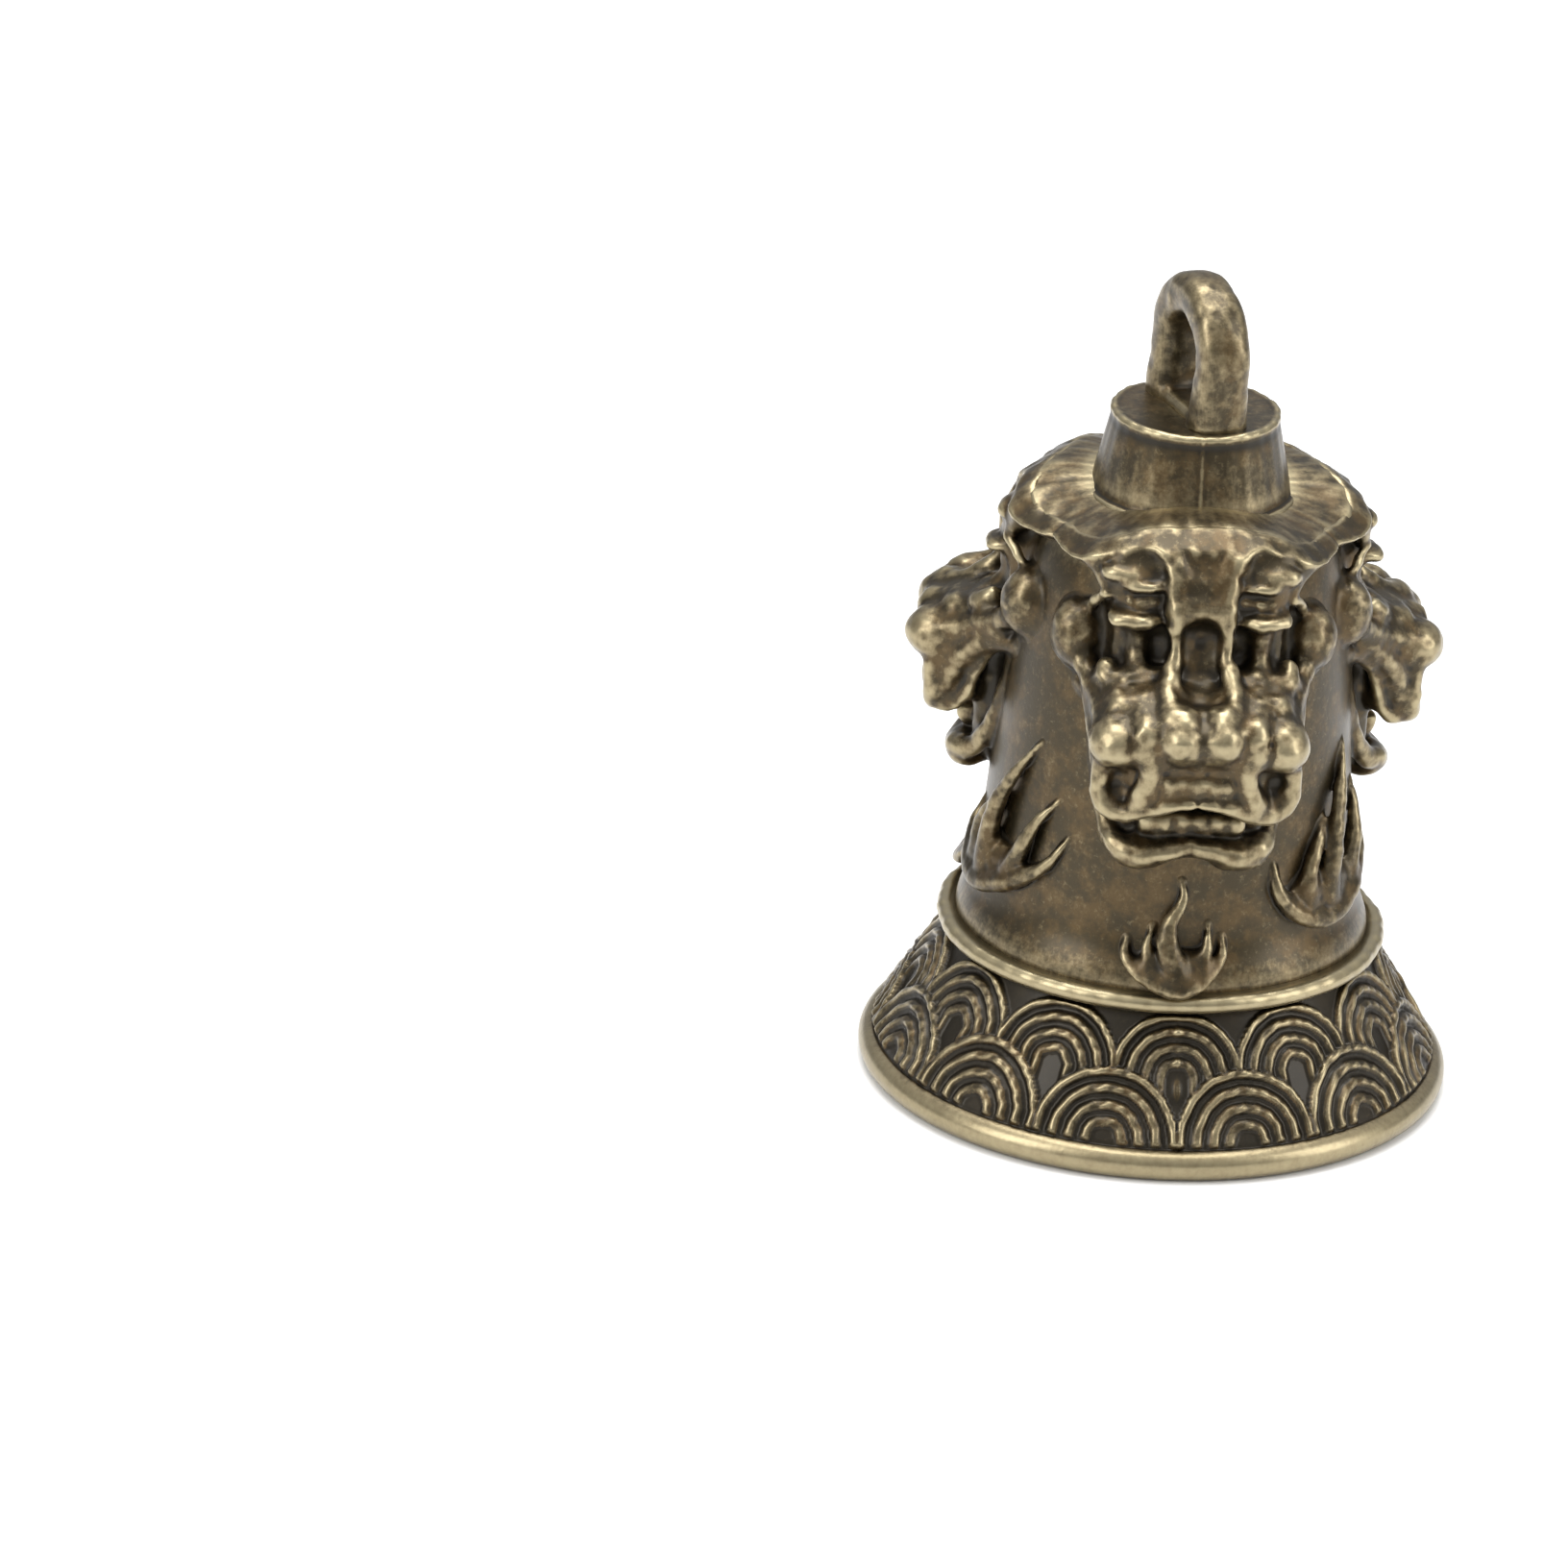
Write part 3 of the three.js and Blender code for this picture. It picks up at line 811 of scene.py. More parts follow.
def sculpt_skull(clay):
    """Forehead, brows and the bridge of the nose, on one side of the middle line."""
    clay.add(block((5.3, 0, 31.3), (2.2, 5.4, 1.1), 0.5), 0.4)
    clay.add(ball((4.5, 5.0, 30.8), (3.0, 2.3, 0.85)), 0.5)
    clay.add(block((7.15, 0, 30.6), (1.0, 4.5, 1.7), 0.9, -26), 0.6)
    clay.add(block((6.95, 0, 28.7), (1.5, 4.3, 1.6), 0.9, -8), 0.5)
    clay.add(block((7.0, 0, 26.3), (1.3, 4.3, 2.6), 0.9, 6), 0.5)
    eave = [(2.6, 7.0, 30.9), (4.7, 6.4, 30.85), (6.0, 5.5, 30.6), (6.9, 5.0, 30.1), (7.5, 4.7, 29.4)]
    clay.add(strand(eave, [0.3, 0.42, 0.52, 0.5, 0.35]), 0.6)
    ledge = [(6.6, 5.5, 31.6), (7.2, 4.6, 31.95), (7.45, 3.0, 31.95), (7.6, 1.2, 32.0), (7.6, 0, 31.95)]
    clay.add(strand(ledge, 0.4), 0.5)
    # Bridge of the nose, flared where it leaves the brow, with a raised edge on each side
    clay.add(block((7.95, 0, 29.9), (1.15, 1.5, 2.5), 0.5, -20), 0.5)
    clay.add(block((8.5, 0, 27.2), (0.85, 1.45, 2.4), 0.4, -8), 0.5)
    rim = [(7.35, 2.9, 32.1), (7.95, 2.15, 31.5), (8.6, 1.62, 30.5), (9.1, 1.36, 29.4), (9.4, 1.25, 28.2),
           (9.5, 1.22, 27.0), (9.8, 1.28, 26.1), (10.6, 1.42, 25.4)]
    clay.add(strand(rim, [0.4, 0.4, 0.38, 0.38, 0.4, 0.38, 0.38, 0.4]), 0.4)
    clay.add(strand([(9.2, 1.2, 28.7), (9.3, 0.6, 28.75), (9.3, 0, 28.8)], 0.5), 0.35)
    clay.cut(ball((8.95, 0, 31.15), (0.5, 1.0, 1.0), -26), 0.3)
    clay.cut(strand([(8.35, 0.95, 31.6), (8.75, 0.72, 30.95), (8.95, 0.35, 30.6), (9.0, 0, 30.5)], 0.2), 0.2)
    clay.cut(ball((9.95, 0, 27.2), (0.9, 1.05, 1.2)), 0.25)


def sculpt_eye(clay):
    """Brow wrinkles, a narrow eye between its lids, and the shelf of bone below it."""
    upper = ((8.55, 2.1, 30.95), (7.55, 4.9, 31.35), 0.2)
    lower = ((8.75, 2.0, 30.35), (8.0, 4.9, 30.8), 0.22)
    for inner, outer, width in (upper, lower):
        middle = tuple((a + b) / 2 + lift for a, b, lift in zip(inner, outer, (0.2, 0, -0.12)))
        clay.cut(strand([inner, middle, outer], [width, width, 0.6 * width]), 0.18)
    clay.add(ball((7.95, 3.7, 30.15), (0.75, 1.35, 0.5)), 0.2)
    clay.add(strand([(8.75, 2.1, 29.75), (8.8, 3.3, 29.7), (8.0, 4.2, 29.9)], [0.24, 0.3, 0.26]), 0.15)
    clay.cut(strand([(9.0, 1.95, 29.25), (9.05, 3.4, 29.2), (8.6, 4.9, 29.6)], [0.2, 0.26, 0.2]), 0.12)
    clay.add(strand([(8.6, 2.1, 28.95), (8.65, 3.3, 28.85), (8.0, 4.2, 29.05)], [0.2, 0.24, 0.22]), 0.12)
    clay.add(ball((8.5, 3.4, 28.05), (1.0, 1.35, 0.42), 6), 0.2)
    clay.add(strand([(8.8, 2.25, 27.95), (9.2, 3.1, 27.95), (8.7, 4.2, 27.9)], [0.36, 0.42, 0.36]), 0.2)
    clay.add(strand([(8.3, 3.1, 27.6), (8.3, 3.1, 26.4), (8.8, 3.1, 25.4)], [0.5, 0.45, 0.5]), 0.5)
    clay.cut(ball((9.2, 2.15, 26.7), (0.9, 0.5, 1.1)), 0.25)
    clay.cut(ball((8.7, 4.1, 26.6), (0.9, 0.55, 1.1)), 0.25)


def sculpt_muzzle(clay):
    """The snout with its trough, nose, nostrils and the pads of the upper lip."""
    clay.add(block((9.3, 0, 23.6), (2.2, 4.75, 1.6), 1.0, 14), 0.6)
    clay.add(block((11.0, 0, 23.2), (2.3, 3.6, 1.5), 1.0, 16), 0.6)
    rim = [(9.7, 1.6, 26.0), (10.6, 1.65, 25.25), (11.7, 1.6, 24.55), (12.4, 1.5, 24.2)]
    clay.add(strand(rim, [0.36, 0.42, 0.5, 0.6]), 0.3)
    trough = [(10.3, 0, 26.7), (10.8, 0, 25.7), (11.6, 0, 25.15), (12.2, 0, 25.3)]
    clay.cut(strand(trough, [0.85, 0.8, 0.75, 0.6]), 0.35)
    clay.add(strand([(9.3, 2.0, 25.3), (9.4, 3.3, 25.1), (9.2, 4.6, 25.0)], [0.4, 0.45, 0.4]), 0.5)
    # Nose
    clay.add(block((12.45, 0, 23.2), (1.35, 1.9, 1.15), 1.0, 16), 0.35)
    clay.add(ball((12.95, 1.05, 23.3), (1.2, 1.05, 1.05)), 0.35)
    clay.add(ball((12.45, 0.95, 24.15), (0.95, 0.85, 0.7)), 0.35)
    clay.cut(ball((13.2, 0, 25.0), (1.0, 0.42, 0.5)), 0.25)
    clay.cut(ball((14.15, 0, 23.3), (0.35, 0.25, 0.9)), 0.3)
    clay.cut(ball((13.85, 1.95, 22.45), (0.5, 0.32, 0.34)), 0.15)
    # Pads beside the nose, and the round pad at each side of the lip
    clay.add(ball((12.3, 2.8, 22.6), (1.0, 1.0, 0.62)), 0.4)
    clay.add(ball((11.6, 4.15, 22.65), (1.7, 1.4, 1.35), 6), 0.35)
    clay.cut(strand([(12.6, 3.35, 23.6), (13.05, 3.55, 22.9), (12.9, 3.4, 22.2)], 0.14), 0.15)


def sculpt_upper_lip(clay):
    """The arched upper lip over a row of teeth, hollow at each side behind a rounded rim."""
    clay.add(block((10.4, 0, 20.8), (1.5, 4.5, 1.6), 0.8), 0.35)
    clay.add(block((11.6, 0, 20.9), (1.1, 2.6, 1.5), 0.6), 0.3)
    wall = [(7.6, 5.0, 24.0), (8.8, 4.85, 23.0), (9.9, 4.65, 21.8), (10.6, 4.45, 20.4), (10.9, 4.3, 19.6)]
    clay.add(strand(wall, 0.72), 0.5)
    clay.cut(block((11.4, 0, 17.9), (2.3, 3.9, 1.25), 0.8), 0.25)
    clay.cut(ball((12.7, 4.05, 20.45), (1.35, 0.95, 1.1)), 0.2)
    rim = [(11.5, 4.6, 21.9), (11.3, 4.8, 20.7), (11.35, 4.75, 19.6), (11.6, 4.1, 18.95), (12.0, 3.2, 18.95),
           (12.5, 2.1, 19.35), (12.8, 1.0, 19.7), (12.88, 0, 19.8)]
    clay.add(strand(rim, [0.55, 0.52, 0.52, 0.55, 0.5, 0.42, 0.36, 0.34]), 0.25)
    flange = [(6.3, 5.4, 23.5), (7.3, 5.05, 23.2), (8.2, 4.8, 22.6), (9.0, 4.65, 21.3), (9.5, 4.55, 19.9),
              (10.3, 4.5, 19.0), (11.2, 4.35, 18.9)]
    clay.add(strand(flange, [0.35, 0.38, 0.36, 0.34, 0.34, 0.38, 0.4]), 0.2)
    clay.add(strand([(12.7, 2.35, 22.2), (12.6, 2.45, 21.0), (12.2, 2.9, 19.6)], [0.45, 0.52, 0.62]), 0.3)
    clay.add(block((12.45, 0, 20.55), (0.5, 1.8, 0.7), 0.25, 8), 0.08)
    clay.cut(block((13.1, 0, 20.4), (0.35, 0.05, 0.6), 0.02, 8), 0.1)
    clay.cut(strand([(13.5, 1.8, 21.55), (13.6, 0.9, 21.4), (13.65, 0, 21.35)], 0.32), 0.2)


def sculpt_jaw(clay):
    """The lower jaw: a rounded lip that runs back along the waist to the cheeks, with low teeth."""
    lip = [(7.0, 4.5, 22.6), (7.3, 4.45, 21.0), (7.8, 4.35, 19.2), (8.5, 4.2, 17.7), (9.3, 3.95, 16.8),
           (10.2, 3.6, 16.5), (10.8, 2.5, 16.2), (11.0, 1.3, 16.5), (11.0, 0, 16.75)]
    clay.add(strand(lip, [0.3, 0.42, 0.48, 0.52, 0.56, 0.62, 0.66, 0.58, 0.46]), 0.25)
    clay.add(block((8.3, 0, 20.4), (1.5, 3.7, 3.6), 0.8), 0.3)
    clay.add(block((9.7, 0, 16.5), (1.2, 3.2, 0.55), 0.4), 0.3)
    clay.add(ball((10.0, 2.4, 15.8), (1.0, 1.5, 0.6)), 0.4)
    clay.add(block((10.35, 0, 17.85), (0.55, 2.7, 0.6), 0.3), 0.1)
    for place in (0.45, 1.35, 2.2):
        clay.add(ball((10.75, place, 17.95), (0.3, 0.5, 0.55)), 0.12)


def sculpt_cheeks(clay):
    """The ball behind each eye, the knob by the corner of the mouth and the folds between them."""
    clay.add(ball((5.85, 5.85, 26.1), (1.45, 1.38, 1.78)), 0.2)
    clay.add(strand([(6.4, 5.4, 27.7), (7.2, 5.0, 28.5), (7.9, 4.7, 28.9)], [0.34, 0.3, 0.28]), 0.2)
    fold = [(6.4, 5.7, 25.4), (7.3, 5.45, 24.8), (8.3, 5.1, 24.3), (9.4, 4.75, 23.7), (10.6, 4.55, 23.2)]
    clay.add(strand(fold, [0.75, 0.6, 0.55, 0.6, 0.75]), 0.3)
    clay.add(ball((8.55, 4.55, 24.75), (0.85, 0.68, 1.15)), 0.12)


def sculpt_head(step):
    """Sculpts one side of a head, mirrors it, and roughens the whole so that its sides differ."""
    (near, low), (far, high), side = HEAD_NEAR, HEAD_FAR, HEAD_SIDE
    half = Clay((near, 0.0, low), (far, side, high), step)
    for stage in (sculpt_skull, sculpt_muzzle, sculpt_eye, sculpt_upper_lip, sculpt_jaw, sculpt_cheeks):
        stage(half)
    whole = Clay((near, -side, low), (far, side, high), step)
    across = np.abs(whole.axes[1]) / step
    whole.field = half.field[:, np.clip(np.rint(across).astype(int), 0, half.field.shape[1] - 1), :]
    whole.soften(6)
    whole.roughen(0.9, 0.06, 11)
    whole.roughen(0.42, 0.035, 12)
    x, y, z = whole.grids()
    angles = np.arctan2(y, x) - math.pi / 2
    radius = np.hypot(x, y)
    inside = radius - plate_edge(angles)
    crown = z - plate_top(radius, angles) + 0.25 - 0.29 * ease(inside, -0.85, -0.35) + 0.7 * np.maximum(inside, 0)
    return bed_in(whole, shell_distance(x, y, z), reach=0.55, cap=crown)


def bed_in(clay, surface, reach, sink=0.025, fillet=0.5, cap=None):
    """Joins the clay to the surface that it grows from, with a fillet, and trims what lies under it."""
    surface = surface.astype(np.float32)
    cast = soft_min(clay.field, surface + sink, fillet)
    cast = np.maximum(cast, clay.field - reach)
    cast = np.maximum(cast, -(surface + BACKING))
    if cap is not None:
        cast = soft_max(cast, cap.astype(np.float32), 0.12)
    for axis in range(3):
        edge = [slice(None)] * 3
        for end in (0, -1):
            edge[axis] = end
            cast[tuple(edge)] = FAR
    return surface_net(cast, clay.axes)


def rub_what_stands_out(places):
    """The snout, farthest from the waist, is the most rubbed, and so is the brow's top."""
    stand_off = np.hypot(places[:, 0], places[:, 1]) - rounded_waist(places[:, 2])
    return 0.085 * np.clip(stand_off - 0.8, 0, 4) + 0.12 * ease(places[:, 2], 30.4, 31.2)


class BELL_OT_heads(bpy.types.Operator):
    """Sculpts a dragon's head and sets one at each third of the shoulder"""

    bl_idname = "bell.heads"
    bl_label = "Dragon heads"

    def execute(self, context):
        vertices, quads = sculpt_head(context.scene.bell_sizes.sculpt_step / unit())
        metal = aged_brass("Relief brass", bareness=-0.07)
        for where, turns in HEADS.items():
            placed = spun(vertices, facing(turns))
            node = f"dragon_head_{where}"
            faces = quads.tolist()
            mesh_piece(f"{node}_cast", placed, faces, metal, "bell", [node], rub_what_stands_out)
        return {"FINISHED"}


# ---------------------------------------------------------------- claws

# Strands over the waist as (sideways, up, out of the surface, radius)
UPPER_CLAW = (
    [(-4.9, 14.6, 0.05, 0.12), (-4.85, 13.4, 0.3, 0.36), (-4.2, 12.3, 0.45, 0.5), (-3.1, 11.65, 0.55, 0.58),
     (-1.6, 11.55, 0.65, 0.6), (0.0, 12.1, 0.65, 0.56), (1.4, 12.9, 0.5, 0.46), (2.6, 13.8, 0.4, 0.34),
     (3.5, 15.4, 0.05, 0.1)],
    [(-3.1, 12.6, 0.45, 0.5), (-3.0, 13.9, 0.5, 0.42), (-2.3, 15.2, 0.4, 0.32), (-1.3, 16.4, 0.05, 0.12)],
    [(-1.7, 12.5, 0.55, 0.6), (-1.5, 14.3, 0.7, 0.52), (-1.0, 16.2, 0.65, 0.44), (-0.1, 18.1, 0.4, 0.3),
     (1.0, 19.8, 0.05, 0.1)],
    [(0.4, 12.9, 0.5, 0.5), (1.2, 14.6, 0.55, 0.42), (1.7, 15.9, 0.4, 0.3), (2.6, 17.1, 0.05, 0.1)],
)
LOWER_CLAW = (
    [(-2.7, 11.0, 0.05, 0.12), (-2.75, 10.3, 0.3, 0.3), (-2.1, 9.7, 0.45, 0.38), (-1.2, 9.25, 0.6, 0.45),
     (-0.1, 9.0, 0.75, 0.5), (0.9, 9.35, 0.6, 0.44), (1.7, 9.95, 0.4, 0.34), (2.1, 10.6, 0.25, 0.24),
     (2.05, 11.3, 0.05, 0.1)],
    [(-1.4, 9.8, 0.45, 0.36), (-1.65, 10.8, 0.45, 0.3), (-1.4, 11.8, 0.05, 0.11)],
    [(0.0, 9.6, 0.65, 0.5), (-0.6, 10.9, 0.75, 0.56), (-0.6, 12.1, 0.6, 0.42), (0.0, 13.3, 0.3, 0.26),
     (-0.1, 14.2, 0.05, 0.1)],
    [(0.9, 9.9, 0.45, 0.4), (1.25, 10.9, 0.45, 0.32), (1.35, 12.0, 0.05, 0.1)],
)


def sculpt_claw(strands, palm, low, high, step):
    """A claw modelled on a flat strip of waist (sideways, up, out) and then wrapped round the bell."""
    clay = Clay(low, high, step)
    for points in strands:
        points = np.array(points)
        clay.add(strand(points[:, :3], points[:, 3]), 0.3)
    clay.add(palm, 0.45)
    clay.soften(4)
    clay.roughen(0.6, 0.035, 21)
    clay.roughen(0.3, 0.02, 22)
    _, _, out = clay.grids()
    strip, quads = bed_in(clay, out + 0 * clay.field, reach=0.45, fillet=0.35)
    sideways, up, out = strip.T
    radius = rounded_waist(up)
    angle = sideways / radius
    placed = np.stack([(radius + out) * np.cos(angle), (radius + out) * np.sin(angle), up], 1)
    return placed, quads


class BELL_OT_claws(bpy.types.Operator):
    """Models the large claws between the heads and the small claws under them"""

    bl_idname = "bell.claws"
    bl_label = "Claws"

    def execute(self, context):
        step = 0.8 * context.scene.bell_sizes.sculpt_step / unit()
        metal = bpy.data.materials["Relief brass"]
        upper_palm = ball((-1.4, 12.7, 0.25), (2.8, 1.2, 0.6))
        lower_palm = ball((-0.3, 9.9, 0.3), (1.7, 0.8, 0.55))
        upper = sculpt_claw(UPPER_CLAW, upper_palm, (-5.6, 9.9, -0.7), (4.8, 20.8, 1.6), step)
        lower = sculpt_claw(LOWER_CLAW, lower_palm, (-3.6, 8.2, -0.7), (3.6, 15.4, 1.9), step)
        for prefix, places, (vertices, quads) in (("upper_claw", BETWEEN, upper), ("lower_claw", HEADS, lower)):
            for where, turns in places.items():
                node = f"{prefix}_{where}"
                placed = spun(vertices, facing(turns))
                mesh_piece(f"{node}_cast", placed, quads.tolist(), metal, "bell", [node])
        return {"FINISHED"}


# ---------------------------------------------------------------- clapper


# Half the distance between the staple's legs, and the heights of its bend and of its legs' ends
STAPLE = {"across": 1.6, "bend": 27.4, "root": 29.4, "wire": 0.5}
LINK = {"radius": 1.7, "height": 25.1, "wire": 0.4}
# The rod's eye hangs in the link, and the ball is held between its two collars
ROD = {
    "eye": 1.4, "height": 22.95, "wire": 0.45, "radius": 0.75, "foot": 2.3,
    "collars": ((2.02, 0.3), (8.0, 0.34)), "collar_radius": 1.2,
}
BALL = {"radius": 2.58, "height": 5.0, "bore": 0.86, "half_bore": 2.46}


def tube(path, radii, sides=24):
    """A round tube along a path of points, with its ends rounded over."""
    path = np.asarray(path, float)
    radii = np.asarray(radii, float) * np.ones(len(path))
    ahead = np.gradient(path, axis=0)
    ahead /= np.linalg.norm(ahead, axis=1, keepdims=True)
    side = np.cross(ahead[0], [0.31, 0.77, 0.55])
    rows = []
    angles = np.arange(sides) * math.tau / sides
    for point, direction, radius in zip(path, ahead, radii):
        side = side - direction * (side @ direction)
        side /= np.linalg.norm(side)
        other = np.cross(direction, side)
        rows.append(point + radius * (np.outer(np.cos(angles), side) + np.outer(np.sin(angles), other)))
    vertices = np.concatenate(rows)
    quads = []
    for row in range(len(path) - 1):
        for i in range(sides):
            j = (i + 1) % sides
            a, b = row * sides, (row + 1) * sides
            quads.append([a + i, a + j, b + j, b + i])
    last = (len(path) - 1) * sides
    quads.append(list(reversed(range(sides))))
    quads.append([last + i for i in range(sides)])
    return vertices, quads


def rounded_ends(path, radius, steps=4):
    """The path's radii, drawn in over its first and last points."""
    radii = np.full(len(path), radius)
    draw = np.sin(np.linspace(0.35, math.pi / 2, steps))
    radii[:steps] *= draw
    radii[-steps:] *= draw[::-1]
    return radii


class BELL_OT_clapper(bpy.types.Operator):
    """Bends the staple and the link, and turns the clapper rod and its ball"""

    bl_idname = "bell.clapper"
    bl_label = "Clapper"

    def execute(self, context):
        wire = aged_brass("Clapper wire", bareness=-0.1, gloom=0.1)
        turned_metal = aged_brass("Clapper brass", bareness=0.35)
        self.staple(wire)
        self.link(wire)
        self.rod(wire)
        self.ball(turned_metal)
        return {"FINISHED"}

    def staple(self, metal):
        across, bend_height, wire = STAPLE["across"], STAPLE["bend"], STAPLE["wire"]
        leg_end, leg_start = STAPLE["root"], bend_height + 0.2
        angles = np.radians(np.linspace(180, 360, 24))
        bend = np.stack([across * np.cos(angles), 0 * angles, bend_height + across * np.sin(angles)], 1)
        down = line((-across, 0, leg_end), (-across, 0, leg_start), 8)
        up = line((across, 0, leg_start), (across, 0, leg_end), 8)
        path = np.vstack([down, bend, up])
        vertices, quads = tube(path, rounded_ends(path, wire))
        mesh_piece("clapper_staple_wire", vertices, quads, metal, "bell", ["clapper_staple"])

    def link(self, metal):
        angles = np.linspace(0.1, math.tau - 0.1, 72)
        radius, height, wire = LINK["radius"], LINK["height"], LINK["wire"]
        path = np.stack([0 * angles, radius * np.cos(angles), height + radius * np.sin(angles)], 1)
        vertices, quads = tube(path, rounded_ends(path, wire))
        mesh_piece("clapper_link_wire", vertices, quads, metal, "link", ["clapper_link"])

    def rod(self, metal):
        clay = Clay((-2.1, -1.5, 1.4), (2.1, 1.5, 25.1), 0.09)
        angles = np.linspace(0, math.tau, 17)
        radius, height = ROD["eye"], ROD["height"]
        ring = np.stack([radius * np.cos(angles), 0 * angles, height + radius * np.sin(angles)], 1)
        clay.add(strand(ring, ROD["wire"]), 0)
        clay.add(strand([(0, 0, ROD["foot"]), (0, 0, 12), (0, 0, height - ROD["eye"] - 0.05)], ROD["radius"]), 0.4)
        x, y, z = clay.grids()
        for centre, half in ROD["collars"]:
            disc = np.maximum(np.hypot(x, y) - ROD["collar_radius"], np.abs(z - centre) - half)
            clay.field = soft_min(clay.field, (disc + 0 * clay.field).astype(np.float32), 0.25)
        clay.roughen(1.1, 0.02, 31)
        vertices, quads = surface_net(clay.field, clay.axes)
        mesh_piece("clapper_rod_turned", vertices, quads.tolist(), metal, "clapper", ["clapper_rod"])

    def ball(self, metal):
        rows = 60
        radius, height, bore, half = BALL["radius"], BALL["height"], BALL["bore"], BALL["half_bore"]
        angles = np.radians(np.linspace(-71, 71, rows))
        outside = np.stack([radius * np.cos(angles), height + radius * np.sin(angles)], 1)
        inside = np.array([[bore, height + half], [bore, height - half]])

        def tool_marks(radius, height, angles):
            radius[:rows] += 0.008 * np.sin(np.arange(rows) * 1.7)[:, None]
            return radius, height

        vertices, quads = turned(np.vstack([outside, inside]), 96, tool_marks)
        mesh_piece("clapper_ball_turned", vertices, quads.tolist(), metal, "clapper", ["clapper_ball"])


# ---------------------------------------------------------------- stage

CAMERA_DISTANCE = 0.587
CAMERA_HEIGHT = 0.261
CAMERA_TURN = math.radians(-6.5)
CAMERA_ROLL = math.radians(-4.05)
FOCAL_LENGTH = 288.0
SENSOR_WIDTH = 36.0
# Where the middle of the lip stands in the view, in widths of the view from its centre, right and up
LIP_PLACE = (0.2341, -0.1685)

FLOOR_COLOUR = (0.86, 0.86, 0.86)
FLOOR_RADIUS = 1.5
# Brightness of the studio near the horizon and overhead
SKY = (0.3, 1.0)
# The soft lights: name, place, size and power
LIGHTS = (
    ("Top light", (0.0, 0.05, 0.4), (0.3, 0.3), 1.6),
    ("Left light", (-0.35, -0.2, 0.25), (0.2, 0.35), 1.1),
    ("Right light", (0.38, -0.15, 0.2), (0.2, 0.35), 0.9),
)


def softbox(name, place, target, size, power):
    light = bpy.data.lights.new(name, "AREA")
    light.shape = "RECTANGLE"
    light.size, light.size_y = size
    light.energy = power
    lamp = bpy.data.objects.new(name, light)
    bpy.context.scene.collection.objects.link(lamp)
    lamp.location = place
    lamp.rotation_euler = (Vector(target) - Vector(place)).to_track_quat("-Z", "Y").to_euler()


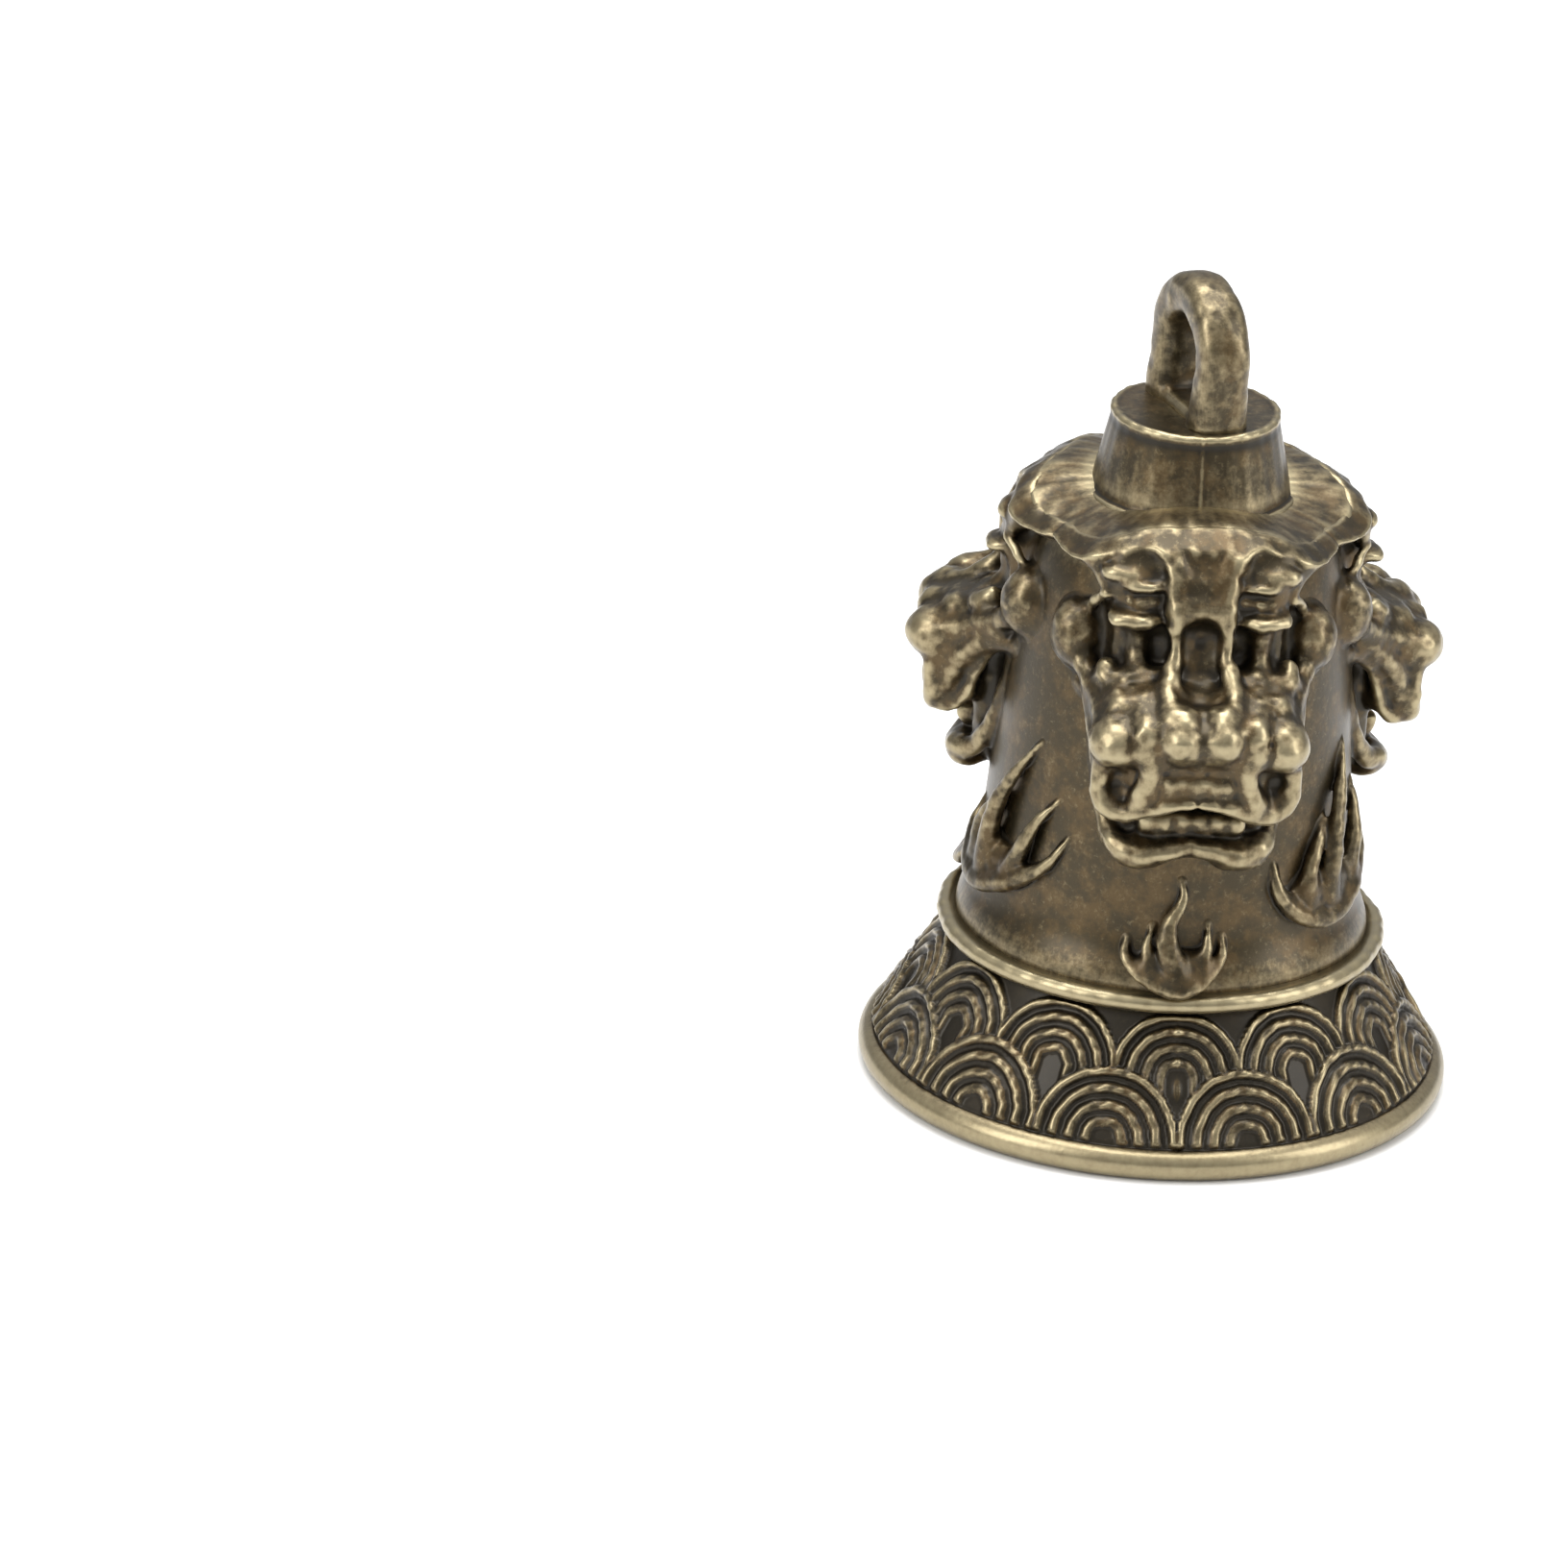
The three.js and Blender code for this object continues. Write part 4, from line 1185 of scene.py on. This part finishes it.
class BELL_OT_stage(bpy.types.Operator):
    """Lays the pale floor, hangs the soft lights and stands the camera"""

    bl_idname = "bell.stage"
    bl_label = "Stage"

    def execute(self, context):
        scene = context.scene
        self.floor(scene)
        self.world(scene)
        for name, place, size, power in LIGHTS:
            softbox(name, place, (0, 0, 0.02), size, power)
        self.camera(scene)
        scene.view_settings.view_transform = "Standard"
        return {"FINISHED"}

    def floor(self, scene):
        mesh = bpy.data.meshes.new("floor")
        angles = np.linspace(0, math.tau, 64, endpoint=False)
        rim = [(FLOOR_RADIUS * math.cos(angle), FLOOR_RADIUS * math.sin(angle), 0) for angle in angles]
        mesh.from_pydata(rim, [], [list(range(64))])
        floor = bpy.data.objects.new("floor", mesh)
        scene.collection.objects.link(floor)
        finish = Finish("Pale floor")
        finish.paint(Base_Color=rgba(FLOOR_COLOUR), Roughness=0.6)
        mesh.materials.append(finish.material)

    def world(self, scene):
        world = bpy.data.worlds.new("Studio")
        nodes = Nodes(world)
        direction = nodes.node("ShaderNodeTexCoord", output="Generated")
        up = nodes.node("ShaderNodeSeparateXYZ", None, {0: direction}, output="Z")
        sockets = {"Value": up, "From Min": 0.1, "From Max": 0.9, "To Min": SKY[0], "To Max": SKY[1]}
        strength = nodes.node("ShaderNodeMapRange", None, sockets)
        nodes.set("Background", Color=(0.98, 0.99, 1, 1), Strength=strength)
        scene.world = world

    def camera(self, scene):
        data = bpy.data.cameras.new("Camera")
        data.lens = FOCAL_LENGTH
        data.sensor_width = SENSOR_WIDTH
        data.clip_start = 0.01
        camera = bpy.data.objects.new("Camera", data)
        scene.collection.objects.link(camera)
        place = Vector((
            CAMERA_DISTANCE * math.sin(CAMERA_TURN), -CAMERA_DISTANCE * math.cos(CAMERA_TURN), CAMERA_HEIGHT
        ))
        # Aim so that the middle of the lip lands at its own place in the frame, then roll about it
        to_lip = Vector((0, 0, LIP_CENTRE[1] * unit())) - place
        level = to_lip.to_track_quat("-Z", "Y")
        seen = Vector((LIP_PLACE[0] * data.sensor_width, LIP_PLACE[1] * data.sensor_width, -data.lens))
        swing = seen.rotation_difference(Vector((0, 0, -1)))
        rotation = Quaternion(to_lip, CAMERA_ROLL) @ level @ swing
        camera.matrix_world = Matrix.Translation(place) @ rotation.to_matrix().to_4x4()
        scene.camera = camera


# ---------------------------------------------------------------- the add-on


class BELL_PT_panel(bpy.types.Panel):
    bl_idname = "BELL_PT_panel"
    bl_label = "Temple bell"
    bl_space_type = "VIEW_3D"
    bl_region_type = "UI"
    bl_category = "Bell"

    def draw(self, context):
        for group in (context.scene.bell_sizes, context.scene.bell_finish):
            for name in group.__annotations__:
                self.layout.prop(group, name)
        for operator in OPERATORS:
            self.layout.operator(operator.bl_idname)


OPERATORS = (BELL_OT_stage, BELL_OT_shell, BELL_OT_crown, BELL_OT_heads, BELL_OT_claws, BELL_OT_clapper)
CLASSES = (BellSizes, BellFinish, *OPERATORS, BELL_PT_panel)


def register():
    for each in CLASSES:
        bpy.utils.register_class(each)
    bpy.types.Scene.bell_sizes = bpy.props.PointerProperty(type=BellSizes)
    bpy.types.Scene.bell_finish = bpy.props.PointerProperty(type=BellFinish)


def unregister():
    del bpy.types.Scene.bell_finish
    del bpy.types.Scene.bell_sizes
    for each in reversed(CLASSES):
        bpy.utils.unregister_class(each)


def main():
    register()
    bpy.ops.bell.stage()
    bpy.ops.bell.shell()
    bpy.ops.bell.crown()
    bpy.ops.bell.heads()
    bpy.ops.bell.claws()
    bpy.ops.bell.clapper()


if __name__ == "__main__":
    main()
